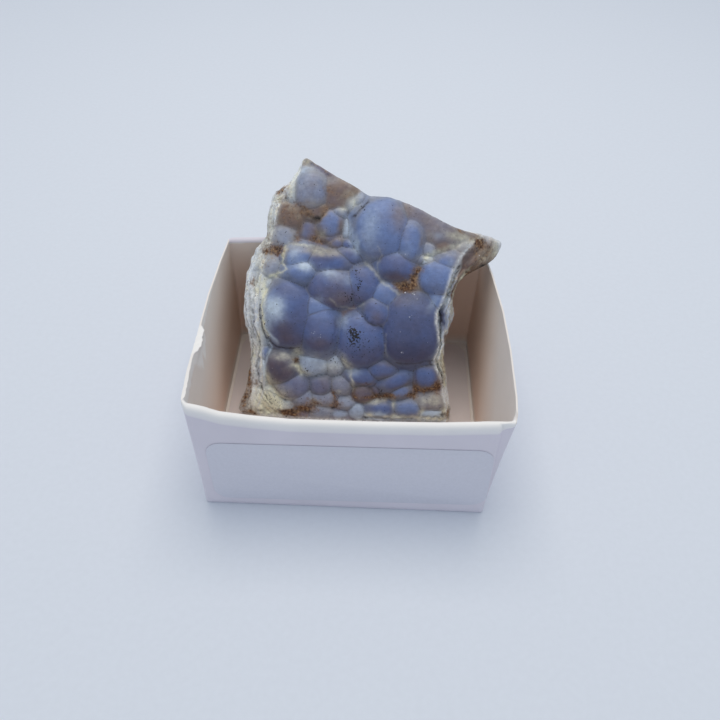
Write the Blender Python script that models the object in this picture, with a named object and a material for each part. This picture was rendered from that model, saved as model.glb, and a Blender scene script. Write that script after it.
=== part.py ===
"""A chalcedony specimen leaning in a small folded card tray with a paper label.

Metres, +Z up. The origin is the middle of the tray's underside, the tray's front wall
faces -Y and +X is to the right of someone who looks at that wall. Sizes below are in
millimetres and become metres when the meshes are made.
"""

import math

import bmesh
import bpy
import numpy as np
from mathutils import Vector, noise
from mathutils.geometry import delaunay_2d_cdt

MM = 0.001

# Card tray: one creased sheet, front and back walls folded over and doubled
TRAY_WIDTH = 50.0
TRAY_DEPTH = 45.0
CARD = 0.6
FOLDED_WALL = 1.4
FOLD_RADIUS = 0.8
FLOOR_TOP = 0.7
FLAP_TOP = 1.1
FLAP_SIDE_GAP = 0.5
FLAP_FRONT_GAP = 0.2
FLAP_BACK_GAP = 1.0
FLAP_CORNER = 3.0
SIDE_RIM = 25.2
BACK_RIM = 25.0
FRONT_RIM = ((-25.0, 26.2), (-22.0, 25.3), (-17.0, 24.6), (-9.0, 24.2), (10.0, 24.1), (25.0, 24.6))
BOW_RIGHT = ((-22.5, 0.0), (-21.3, 2.2), (-17.0, 2.6), (-6.0, 2.8), (4.0, 2.5), (14.0, 1.5), (22.5, 0.1))
BOW_LEFT = ((-22.5, 0.0), (-14.0, 0.7), (-4.0, 0.9), (6.0, 1.0), (15.0, 0.7), (22.5, 0.0))
BOW_POWER = 1.4
POINTS_ON_WALL = 14
POINTS_ON_CORNER = 3
WALL_ROWS = 7
RIM_ROWS = 6

# Paper label on the front wall
LABEL_WIDTH = 47.8
LABEL_HEIGHT = 15.4
LABEL_CORNER = 2.7
LABEL_THICKNESS = 0.15
LABEL_MIDDLE = (0.85, 10.0)
LABEL_TILT = math.radians(0.9)
GAP = 0.3

# Stone: a broken slab that leans back on the tray's back rim.
# u runs to the right along the face, v up the slope and n out of the face.
LEAN = math.radians(51.0)
FOOT = (0.0, -5.3, 6.25)
FACE_PITCH = 0.95
BACK_PITCH = 2.4
FLANK_ROWS = 7
FLANK_DEPTH = -4.2
BACK_DEPTH = -8.3
BACK_PULL = 0.12
MIDDLE = (0.0, 20.0)

# Stations round the slab, anticlockwise from the bottom left corner:
# the edge of the front face, then the widest point of the flank behind it.
STATIONS = (
    ((-16.6, 0.6), (-20.4, -0.3)),
    ((-12.0, -0.2), (-13.4, -1.2)),
    ((-6.0, -0.5), (-6.6, -1.4)),
    ((0.0, -0.7), (0.0, -1.5)),
    ((6.0, -0.9), (6.4, -1.6)),
    ((12.0, -1.1), (12.8, -1.7)),
    ((17.2, -1.1), (18.6, -1.7)),
    ((18.5, 0.8), (20.2, 0.4)),
    ((18.1, 4.4), (19.6, 4.6)),
    ((17.0, 7.6), (18.9, 8.2)),
    ((16.0, 10.8), (19.1, 11.4)),
    ((16.5, 13.8), (18.7, 14.0)),
    ((16.2, 16.8), (19.0, 17.0)),
    ((15.7, 19.4), (19.6, 19.6)),
    ((16.2, 22.0), (19.8, 22.4)),
    ((17.8, 24.6), (20.2, 25.2)),
    ((18.7, 27.2), (23.0, 27.4)),
    ((19.9, 30.0), (26.2, 29.6)),
    ((21.3, 32.2), (27.6, 32.2)),
    ((23.0, 34.0), (26.2, 34.0)),
    ((18.4, 35.3), (18.9, 35.4)),
    ((14.9, 36.8), (15.0, 36.8)),
    ((11.8, 38.3), (11.8, 38.1)),
    ((8.4, 39.6), (8.3, 39.3)),
    ((5.5, 40.3), (5.3, 39.9)),
    ((2.6, 40.4), (2.4, 40.0)),
    ((0.5, 41.7), (0.3, 41.2)),
    ((-3.8, 43.9), (-4.1, 43.3)),
    ((-7.4, 45.9), (-7.8, 45.3)),
    ((-9.7, 46.9), (-10.4, 46.4)),
    ((-10.6, 44.0), (-11.9, 44.2)),
    ((-12.8, 40.8), (-14.9, 41.6)),
    ((-14.0, 38.2), (-16.2, 39.0)),
    ((-14.8, 35.2), (-16.8, 35.6)),
    ((-15.5, 32.0), (-17.2, 32.6)),
    ((-16.2, 29.0), (-19.2, 29.4)),
    ((-17.0, 25.6), (-20.3, 25.8)),
    ((-17.3, 22.0), (-20.9, 22.2)),
    ((-17.3, 18.0), (-20.9, 18.0)),
    ((-17.0, 14.0), (-20.1, 13.8)),
    ((-16.6, 10.4), (-19.4, 10.4)),
    ((-16.3, 6.8), (-19.6, 7.0)),
    ((-16.2, 3.6), (-20.0, 3.4)),
)

# Swells of the ground under the bumps: u, v, spread along u, spread along v, height
GROUND = 0.3
SWELLS = (
    (-1.0, 20.0, 15.0, 7.5, 1.7),
    (9.0, 32.0, 8.0, 6.0, 1.2),
    (17.0, 22.0, 3.0, 12.0, 0.8),
)

# Rounded bumps of the crust: u, v, half width, half height, turn in degrees, top, squareness
BUMPS = (
    # large domes across the middle
    (11.2, 17.0, 5.4, 6.9, 0, 5.0, 2.7),
    (2.0, 15.2, 5.2, 5.9, 0, 4.5, 2.3),
    (-11.9, 18.3, 5.3, 5.9, 0, 4.5, 2.1),
    (-5.7, 16.4, 3.7, 4.4, 0, 4.6, 2.1),
    (-11.3, 23.0, 4.3, 2.6, 0, 3.8, 2.1),
    (-6.1, 22.0, 2.1, 1.9, 0, 3.7, 2.1),
    (-3.2, 23.5, 4.7, 4.0, 0, 4.4, 2.1),
    (1.9, 25.2, 3.5, 4.1, 0, 3.9, 2.1),
    (3.7, 20.1, 2.4, 2.7, 0, 4.5, 2.1),
    (6.5, 23.3, 2.5, 2.1, 0, 3.6, 2.1),
    # crest above them
    (-9.8, 26.5, 3.3, 2.3, 0, 3.7, 2.1),
    (-10.0, 29.6, 3.7, 2.3, 0, 2.8, 2.1),
    (-4.8, 28.8, 4.3, 2.1, 0, 3.1, 2.1),
    (-1.3, 30.6, 2.4, 1.6, 0, 2.3, 2.1),
    # upper left
    (-8.0, 41.6, 3.1, 4.2, 0, 2.7, 2.1),
    (-6.7, 37.9, 2.3, 1.9, 0, 1.7, 2.1),
    (-11.7, 37.0, 3.2, 2.7, 0, 1.3, 2.1),
    (-2.9, 40.8, 3.4, 3.1, 0, 1.4, 2.1),
    (-4.5, 36.0, 2.1, 2.3, 0, 1.9, 2.1),
    (-8.4, 34.1, 1.7, 1.9, 0, 1.3, 2.1),
    (-13.1, 33.5, 2.0, 2.2, 0, 1.3, 2.1),
    # upper right
    (4.0, 35.0, 4.2, 5.4, 0, 4.5, 2.2),
    (8.8, 37.4, 4.6, 3.7, 0, 3.1, 2.2),
    (9.9, 32.5, 2.7, 3.7, 0, 3.8, 2.2),
    (14.4, 35.0, 6.4, 3.6, -20, 2.5, 2.2),
    (16.6, 32.2, 3.0, 2.3, 0, 2.5, 2.1),
    (7.6, 28.4, 4.0, 3.3, 0, 4.0, 2.1),
    (15.6, 27.3, 4.7, 3.9, 0, 3.7, 2.2),
    (15.6, 22.6, 2.9, 2.5, 0, 2.9, 2.1),
    # left border
    (-15.1, 27.2, 2.0, 1.9, 0, 1.8, 2.1),
    # small bumps of the lower third
    (14.1, 8.6, 2.3, 2.3, 0, 2.6, 2.4),
    (9.2, 7.3, 3.3, 2.0, 25, 2.5, 2.2),
    (7.2, 9.7, 3.2, 1.7, 5, 2.7, 2.2),
    (2.6, 8.1, 3.7, 2.0, -8, 2.4, 2.2),
    (2.6, 4.5, 1.9, 1.5, 0, 1.8, 2.2),
    (9.6, 4.7, 2.0, 1.4, 0, 1.8, 2.2),
    (-6.6, 10.8, 3.1, 2.4, 0, 2.5, 2.2),
    (-2.6, 10.4, 2.0, 2.2, 0, 2.3, 2.2),
    (-12.8, 8.9, 3.0, 2.9, 0, 3.0, 2.2),
    (-10.7, 5.2, 3.2, 2.4, 0, 2.4, 2.2),
    (-5.3, 6.1, 2.4, 2.0, 0, 2.1, 2.3),
    (-1.4, 6.3, 2.0, 2.0, 0, 2.0, 2.3),
    (-5.4, 3.0, 2.6, 1.7, 0, 1.6, 2.2),
    (-0.7, 2.7, 1.6, 1.3, 0, 1.4, 2.2),
    (1.6, 1.2, 1.9, 1.3, 0, 1.3, 2.2),
    (6.0, 1.7, 2.7, 1.5, 0, 1.8, 2.2),
    (11.0, 2.3, 2.6, 1.7, 0, 1.8, 2.2),
    (15.6, 3.3, 2.5, 1.7, 0, 1.7, 2.2),
)
DOME_DROP = 0.72
SHOULDER = 0.88
BLEND = 0.12


def add_material(name, color, roughness):
    """A plain non-metal surface."""
    material = bpy.data.materials.new(name)
    material.use_nodes = True
    shader = material.node_tree.nodes["Principled BSDF"]
    shader.inputs["Base Color"].default_value = (*color, 1.0)
    shader.inputs["Roughness"].default_value = roughness
    shader.inputs["Metallic"].default_value = 0.0
    return material


def add_object(name, bm, material):
    """Make an object of a bmesh drawn in millimetres."""
    bmesh.ops.scale(bm, vec=(MM, MM, MM), verts=bm.verts)
    bmesh.ops.recalc_face_normals(bm, faces=bm.faces)
    mesh = bpy.data.meshes.new(name)
    bm.to_mesh(mesh)
    bm.free()
    mesh.materials.append(material)
    obj = bpy.data.objects.new(name, mesh)
    bpy.context.scene.collection.objects.link(obj)
    return obj


def between(table, value):
    """Read a value from a table of (place, size) pairs, with straight lines between them."""
    places, sizes = zip(*table)
    return float(np.interp(value, places, sizes))


def rounded_rectangle(half_width, half_depth, radius, wall_points, corner_points):
    """Points round a rectangle with arcs for corners, anticlockwise from the front left."""
    centres = (
        (half_width - radius, radius - half_depth, -90.0),
        (half_width - radius, half_depth - radius, 0.0),
        (radius - half_width, half_depth - radius, 90.0),
        (radius - half_width, radius - half_depth, 180.0),
    )
    arcs = []
    for cx, cy, start in centres:
        turns = [math.radians(start + 90.0 * i / corner_points) for i in range(corner_points + 1)]
        arcs.append([(cx + radius * math.cos(a), cy + radius * math.sin(a)) for a in turns])
    points = []
    for before, after in zip([arcs[-1]] + arcs[:-1], arcs):
        start = Vector(before[-1])
        end = Vector(after[0])
        for i in range(1, wall_points):
            points.append(tuple(start.lerp(end, i / wall_points)))
        points.extend(after)
    return points


def rim_height(x, y):
    """Height of the tray's rim above one point of its plan."""
    toward_front = min(1.0, max(0.0, (-y - TRAY_DEPTH / 2 + 2.0) / 1.2))
    toward_back = min(1.0, max(0.0, (y - TRAY_DEPTH / 2 + 2.0) / 1.2))
    front = between(FRONT_RIM, x)
    side = SIDE_RIM * (1.0 - toward_front) + front * toward_front
    return side * (1.0 - toward_back) + BACK_RIM * toward_back


def bowed(x, y, z):
    """Lean the side walls outward the way the loose card stands."""
    lift = max(0.0, z / SIDE_RIM) ** BOW_POWER
    half = TRAY_WIDTH / 2
    if x > 0:
        return x + between(BOW_RIGHT, y) * lift * (x / half) ** 4, y, z
    return x - between(BOW_LEFT, y) * lift * (x / half) ** 4, y, z


def stitch(bm, lower, upper):
    """Bridge two rings of vertices with quads."""
    count = len(lower)
    for i in range(count):
        j = (i + 1) % count
        bm.faces.new((lower[i], lower[j], upper[j], upper[i]))


def build_tray(material):
    """Folded tray: underside, outer walls, rolled rim, inner walls, floor and floor flap."""
    half_w = TRAY_WIDTH / 2
    half_d = TRAY_DEPTH / 2

    def plan(inset_x, inset_y, radius):
        return rounded_rectangle(
            half_w - inset_x, half_d - inset_y, radius, POINTS_ON_WALL, POINTS_ON_CORNER
        )

    outer = plan(0.0, 0.0, FOLD_RADIUS)
    inner = plan(CARD, FOLDED_WALL, FOLD_RADIUS / 2)
    under = plan(CARD / 2, CARD / 2, FOLD_RADIUS)
    rings = [[(x, y, 0.0) for x, y in under]]
    tops = [rim_height(x, y) for x, y in outer]
    halves = [math.dist(a, b) / 2 for a, b in zip(outer, inner)]
    for row in range(WALL_ROWS + 1):
        part = row / WALL_ROWS
        ring = []
        for (x, y), top, half in zip(outer, tops, halves):
            ring.append(bowed(x, y, CARD / 2 + (top - half - CARD / 2) * part))
        rings.append(ring)
    for row in range(1, RIM_ROWS):
        turn = math.pi * row / RIM_ROWS
        ring = []
        for a, b, top, half in zip(outer, inner, tops, halves):
            out = (1.0 + math.cos(turn)) / 2
            x = a[0] * out + b[0] * (1.0 - out)
            y = a[1] * out + b[1] * (1.0 - out)
            ring.append(bowed(x, y, top - half + half * math.sin(turn)))
        rings.append(ring)
    for row in range(WALL_ROWS + 1):
        part = 1.0 - row / WALL_ROWS
        ring = []
        for (x, y), top, half in zip(inner, tops, halves):
            ring.append(bowed(x, y, FLOOR_TOP + (top - half - FLOOR_TOP) * part))
        rings.append(ring)
    flap = rounded_rectangle(
        half_w - CARD - FLAP_SIDE_GAP,
        half_d - FOLDED_WALL - (FLAP_FRONT_GAP + FLAP_BACK_GAP) / 2,
        FLAP_CORNER, POINTS_ON_WALL, POINTS_ON_CORNER,
    )
    shift = (FLAP_FRONT_GAP - FLAP_BACK_GAP) / 2
    rings.append([(x, y + shift, FLOOR_TOP) for x, y in flap])
    rings.append([(x, y + shift, FLAP_TOP) for x, y in flap])

    bm = bmesh.new()
    loops = [[bm.verts.new(point) for point in ring] for ring in rings]
    for lower, upper in zip(loops, loops[1:]):
        stitch(bm, lower, upper)
    bm.faces.new(list(reversed(loops[0])))
    bm.faces.new(loops[-1])
    return add_object("card_tray", bm, material)


def build_label(material):
    """Thin plate with round corners, upright in front of the tray's front wall."""
    outline = rounded_rectangle(LABEL_WIDTH / 2, LABEL_HEIGHT / 2, LABEL_CORNER, 1, 6)
    bm = bmesh.new()
    face = bm.faces.new([bm.verts.new((x, 0.0, z)) for x, z in outline])
    bmesh.ops.recalc_face_normals(bm, faces=[face])
    made = bmesh.ops.extrude_face_region(bm, geom=[face])
    moved = [item for item in made["geom"] if isinstance(item, bmesh.types.BMVert)]
    bmesh.ops.translate(bm, vec=(0.0, -LABEL_THICKNESS, 0.0), verts=moved)
    obj = add_object("label", bm, material)
    obj.rotation_euler = (0.0, -LABEL_TILT, 0.0)
    obj.location = (LABEL_MIDDLE[0] * MM, (-TRAY_DEPTH / 2 - GAP) * MM, LABEL_MIDDLE[1] * MM)
    return obj


def smooth_ring(corners, pitch):
    """Closed smooth line through corner points, cut into steps of about one pitch.

    Gives the points and, for each, how far round the list of corners it lies.
    """
    knots = np.array(corners)
    before = np.roll(knots, 1, axis=0)
    after = np.roll(knots, -1, axis=0)
    beyond = np.roll(knots, -2, axis=0)
    points = []
    places = []
    for i, (a, b, c, d) in enumerate(zip(before, knots, after, beyond)):
        steps = max(1, round(float(np.linalg.norm(c - b)) / pitch))
        for k in range(steps):
            s = k / steps
            points.append(
                0.5 * (2 * b + (c - a) * s + (2 * a - 5 * b + 4 * c - d) * s**2
                       + (3 * b - a - 3 * c + d) * s**3)
            )
            places.append(i + s)
    return np.array(points), np.array(places)


def along_ring(corners, places):
    """Points of the same smooth line at given places round the list of corners."""
    knots = np.array(corners)
    count = len(knots)
    i = places.astype(int)
    s = (places - i)[:, None]
    a, b = knots[(i - 1) % count], knots[i % count]
    c, d = knots[(i + 1) % count], knots[(i + 2) % count]
    return 0.5 * (2 * b + (c - a) * s + (2 * a - 5 * b + 4 * c - d) * s**2
                  + (3 * b - a - 3 * c + d) * s**3)


def dome(away):
    """Fall from a round top: a circle out to the shoulder and a straight slope beyond it."""
    round_part = np.minimum(away, SHOULDER)
    slope = SHOULDER / math.sqrt(1.0 - SHOULDER**2)
    return 1.0 - np.sqrt(1.0 - round_part**2) + slope * (away - round_part)


def relief(u, v):
    """Height of the botryoidal crust over the slab's face, in millimetres."""
    ground = np.full_like(u, GROUND)
    for cu, cv, su, sv, height in SWELLS:
        ground += height * np.exp(-((u - cu) / su) ** 2 - ((v - cv) / sv) ** 2)
    total = np.exp(ground / BLEND)
    for cu, cv, half_u, half_v, turn, top, square in BUMPS:
        c, s = math.cos(math.radians(turn)), math.sin(math.radians(turn))
        du = np.abs((u - cu) * c + (v - cv) * s) / half_u
        dv = np.abs((v - cv) * c - (u - cu) * s) / half_v
        away = (du**square + dv**square) ** (1.0 / square)
        height = top - DOME_DROP * min(half_u, half_v) * dome(away)
        total += np.exp(height / BLEND)
    return BLEND * np.log(total)


def inside(points, ring):
    """Which points lie inside a closed ring."""
    x, y = points[:, 0], points[:, 1]
    found = np.zeros(len(points), dtype=bool)
    for (x0, y0), (x1, y1) in zip(ring, np.roll(ring, -1, axis=0)):
        if y0 == y1:
            continue
        crosses = (y0 > y) != (y1 > y)
        found ^= crosses & (x < (x1 - x0) * (y - y0) / (y1 - y0) + x0)
    return found


def fill(ring, pitch):
    """Even triangles that fill a closed ring: the points added inside it, and the faces."""
    low, high = ring.min(axis=0), ring.max(axis=0)
    rows = []
    for k, v in enumerate(np.arange(low[1], high[1], pitch * math.sqrt(0.75))):
        u = np.arange(low[0] + pitch / 2 * (k % 2), high[0], pitch)
        rows.append(np.column_stack([u, np.full_like(u, v)]))
    grid = np.vstack(rows)
    grid = grid[inside(grid, ring)]
    clear = np.full(len(grid), np.inf)
    for corner in ring:
        clear = np.minimum(clear, np.hypot(*(grid - corner).T))
    grid = grid[clear > 0.62 * pitch]
    count = len(ring)
    edges = [(i, (i + 1) % count) for i in range(count)]
    coords = [Vector(p) for p in np.vstack([ring, grid])]
    faces = delaunay_2d_cdt(coords, edges, [], 1, 1e-6)[2]
    return grid, faces


def back_depth(u, v):
    """Depth of the broken back, thinner where the upper right corner overhangs the tray."""
    ear = np.exp(-((u - 27.0) / 6.0) ** 2 - ((v - 31.0) / 5.0) ** 2)
    left = np.exp(-((u + 20.0) / 7.0) ** 2)
    return BACK_DEPTH + 3.0 * ear + 0.8 * left


def coarse_noise(points, size, offset):
    """Smooth random values between -1 and 1, the same each time."""
    return np.array([noise.noise(Vector((p[0], p[1], p[2])) / size + offset) for p in points])


def build_stone(material):
    """Slab of chalcedony: crust of bumps in front, stepped flanks and a broken back."""
    front_corners = [front for front, _ in STATIONS]
    flank_corners = [flank for _, flank in STATIONS]
    front, places = smooth_ring(front_corners, FACE_PITCH)
    flank = along_ring(flank_corners, places)
    back = flank + (np.array(MIDDLE) - flank) * BACK_PULL

    front_height = relief(front[:, 0], front[:, 1])
    back_height = back_depth(back[:, 0], back[:, 1])
    flank_height = np.maximum(FLANK_DEPTH, back_height + 1.8)

    bm = bmesh.new()
    loops = []
    for row in range(FLANK_ROWS + 1):
        part = 2.0 * row / FLANK_ROWS
        if part <= 1.0:
            ring = front + (flank - front) * part**0.8
            height = front_height + (flank_height - front_height) * part
        else:
            bend = math.cos((part - 1.0) * math.pi / 2)
            ring = back + (flank - back) * bend
            height = flank_height + (back_height - flank_height) * (part - 1.0)
        solid = np.column_stack([ring, height])
        if 0 < row < FLANK_ROWS:
            away = ring - np.array(MIDDLE)
            away /= np.linalg.norm(away, axis=1)[:, None]
            rough = 0.35 * coarse_noise(solid, 3.0, Vector((5.0, 2.0, 9.0)))
            solid[:, :2] += away * rough[:, None]
        loops.append([bm.verts.new(point) for point in solid])
    for lower, upper in zip(loops, loops[1:]):
        stitch(bm, upper, lower)

    face_grid, face_faces = fill(front, FACE_PITCH)
    face_height = relief(face_grid[:, 0], face_grid[:, 1])
    face_verts = loops[0] + [bm.verts.new((u, v, n)) for (u, v), n in zip(face_grid, face_height)]
    for corners in face_faces:
        bm.faces.new([face_verts[i] for i in corners])

    back_grid, back_faces = fill(back, BACK_PITCH)
    depth = back_depth(back_grid[:, 0], back_grid[:, 1])
    flat = np.column_stack([back_grid, depth])
    depth = depth + 0.5 * coarse_noise(flat, 6.0, Vector((1.0, 7.0, 3.0)))
    back_verts = loops[-1] + [bm.verts.new((u, v, n)) for (u, v), n in zip(back_grid, depth)]
    for corners in back_faces:
        bm.faces.new([back_verts[i] for i in reversed(corners)])

    obj = add_object("chalcedony", bm, material)
    obj.rotation_euler = (LEAN, 0.0, 0.0)
    obj.location = [value * MM for value in FOOT]
    return obj


def main():
    """Clear the scene and build the three pieces."""
    for obj in list(bpy.data.objects):
        bpy.data.objects.remove(obj, do_unlink=True)
    stone = add_material("blue_chalcedony", (0.17, 0.20, 0.34), 0.35)
    card = add_material("white_lined_card", (0.72, 0.71, 0.70), 0.75)
    paper = add_material("label_paper", (0.78, 0.78, 0.80), 0.6)
    build_tray(card)
    build_label(paper)
    build_stone(stone)


main()
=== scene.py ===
"""Looks of a chalcedony specimen in a folded card tray: surfaces, floor, light and camera.

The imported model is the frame. The stone, the tray and the label each get a finer mesh in the
place of their solid, worked out from the same sizes, and a procedural material. Sizes are in
millimetres and become metres where a mesh, a lamp or the camera is made.
"""

import logging
import math
from dataclasses import dataclass, field
from enum import Enum

import bmesh
import bpy
import numpy as np
from mathutils import Matrix, Vector, noise
from mathutils.geometry import delaunay_2d_cdt


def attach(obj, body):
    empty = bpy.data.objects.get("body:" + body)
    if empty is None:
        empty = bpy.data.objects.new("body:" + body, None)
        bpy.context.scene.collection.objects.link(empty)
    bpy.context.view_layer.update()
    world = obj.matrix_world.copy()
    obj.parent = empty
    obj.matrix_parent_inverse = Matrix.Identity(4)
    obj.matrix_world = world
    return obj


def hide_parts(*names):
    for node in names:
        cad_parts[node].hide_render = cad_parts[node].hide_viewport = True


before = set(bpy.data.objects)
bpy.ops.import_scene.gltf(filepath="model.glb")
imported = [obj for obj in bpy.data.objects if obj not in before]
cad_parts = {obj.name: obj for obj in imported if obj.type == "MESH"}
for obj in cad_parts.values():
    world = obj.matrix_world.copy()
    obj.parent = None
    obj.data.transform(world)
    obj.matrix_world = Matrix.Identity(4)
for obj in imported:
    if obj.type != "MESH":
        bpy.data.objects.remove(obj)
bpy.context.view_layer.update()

LOG = logging.getLogger("chalcedony")
MM = 0.001
BODY = "root"
Ring = np.ndarray


def linear(code: str) -> tuple[float, float, float, float]:
    """Turn an sRGB hex colour into linear light.

    Args:
        code: six hex digits, with or without a leading hash.

    Returns:
        Red, green, blue and an alpha of 1.
    """
    digits = code.lstrip("#")
    channels = [int(digits[i:i + 2], 16) / 255.0 for i in (0, 2, 4)]
    r, g, b = [c / 12.92 if c <= 0.04045 else ((c + 0.055) / 1.055) ** 2.4 for c in channels]
    return (r, g, b, 1.0)


def add(tree: bpy.types.NodeTree, kind: str, settings: dict | None = None,
        inputs: dict | None = None, stops: tuple = (), out: int | str = 0) -> bpy.types.NodeSocket:
    """Add one node with its settings and links.

    Args:
        tree: the node tree that gets the node.
        kind: the node's Blender type name.
        settings: properties of the node, by name.
        inputs: input sockets by name or number, each given a value or an output to link from.
        stops: places and hex colours of a colour ramp.
        out: name or number of the output that is wanted.

    Returns:
        That output of the new node.
    """
    node = tree.nodes.new(kind)
    for name, value in (settings or {}).items():
        setattr(node, name, value)
    for name, value in (inputs or {}).items():
        if isinstance(value, bpy.types.NodeSocket):
            tree.links.new(value, node.inputs[name])
        else:
            node.inputs[name].default_value = value
    for i, (place, code) in enumerate(stops):
        if i > 1:
            node.color_ramp.elements.new(1.0)
        node.color_ramp.elements[i].position = place
        node.color_ramp.elements[i].color = linear(code)
    return node.outputs[out]


def new_material(name: str) -> tuple[bpy.types.Material, bpy.types.NodeTree, bpy.types.Node]:
    """Start a material with one Principled shader.

    Args:
        name: the material's name.

    Returns:
        The material, its node tree and the shader node.
    """
    material = bpy.data.materials.new(name)
    material.use_nodes = True
    tree = material.node_tree
    return material, tree, tree.nodes["Principled BSDF"]


def add_piece(name: str, bm: bmesh.types.BMesh, material: bpy.types.Material,
              node: str, sharp: float = math.pi) -> bpy.types.Object:
    """Make an object of a bmesh in metres that stands for one node of the frame.

    Args:
        name: the piece's name.
        bm: its mesh, in the frame's own place. It is freed.
        material: its finish.
        node: the frame's node that it replaces.
        sharp: angle between faces above which their edge stays sharp.

    Returns:
        The finished object.
    """
    mesh = bpy.data.meshes.new(name)
    bm.to_mesh(mesh)
    bm.free()
    mesh.materials.append(material)
    mesh.shade_smooth()
    mesh.set_sharp_from_angle(angle=sharp)
    piece = bpy.data.objects.new(name, mesh)
    bpy.context.scene.collection.objects.link(piece)
    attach(piece, BODY)
    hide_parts(node)
    LOG.info("%s: %d triangles", name, sum(len(p.vertices) - 2 for p in mesh.polygons))
    return piece


def wave(points: np.ndarray, size: float, offset: tuple[float, float, float]) -> np.ndarray:
    """Smooth random values that are the same each time.

    Args:
        points: places in millimetres, one row each.
        size: distance over which the value changes, in millimetres.
        offset: shifts the pattern, so that two patterns differ.

    Returns:
        One value between about -1 and 1 for each point.
    """
    shift = Vector(offset)
    return np.array([noise.noise(Vector(p) / size + shift) for p in points.tolist()])


def stitch(bm: bmesh.types.BMesh, lower: list, upper: list) -> None:
    """Bridge two rings of vertices with quads.

    Args:
        bm: the mesh that holds the rings.
        lower: one closed ring.
        upper: the next ring, of the same count.
    """
    count = len(lower)
    for i in range(count):
        j = (i + 1) % count
        bm.faces.new((lower[i], lower[j], upper[j], upper[i]))


class Tone(Enum):
    """Colour of a bump: how brown, how milky and how dark it is, each from 0 to 1."""

    SLATE = (0.08, 0.0, 0.26)
    DIM = (0.35, 0.06, 0.15)
    DEEP = (0.14, 0.0, 0.58)
    PLUM = (0.22, 0.0, 0.30)
    BLUE = (0.0, 0.14, 0.0)
    LILAC = (0.42, 0.30, 0.0)
    VIOLET = (0.50, 0.0, 0.50)
    DUSK = (0.66, 0.14, 0.08)
    BROWN = (1.0, 0.05, 0.12)
    GREY = (0.40, 0.45, 0.0)
    MILK = (0.15, 0.75, 0.0)
    CREAM = (0.70, 0.80, 0.0)


class Stain(Enum):
    """What a patch or vein adds; the value is the vertex attribute that it feeds."""

    WARM = "warm"
    PALE = "pale"
    DEEP = "deep"
    CREAM = "cream"
    RUST = "rust"
    DARK = "dark"
    SPECKS = "specks"
    GLINTS = "glints"
    SKIN = "skin"


@dataclass(frozen=True)
class Bump:
    """One rounded bump of the crust, placed on the slab's face."""

    u: float
    v: float
    half_u: float
    half_v: float
    top: float
    tone: Tone
    rim: float
    turn: float = 0.0
    square: float = 2.1
    drop: float = 0.64


@dataclass(frozen=True)
class Patch:
    """A soft-edged patch of colour."""

    u: float
    v: float
    half_u: float
    half_v: float
    stain: Stain
    strength: float
    turn: float = 0.0


@dataclass(frozen=True)
class Vein:
    """A thin line of colour through some points, sunk a little into the surface."""

    stain: Stain
    width: float
    strength: float
    path: tuple[tuple[float, float], ...]


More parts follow.
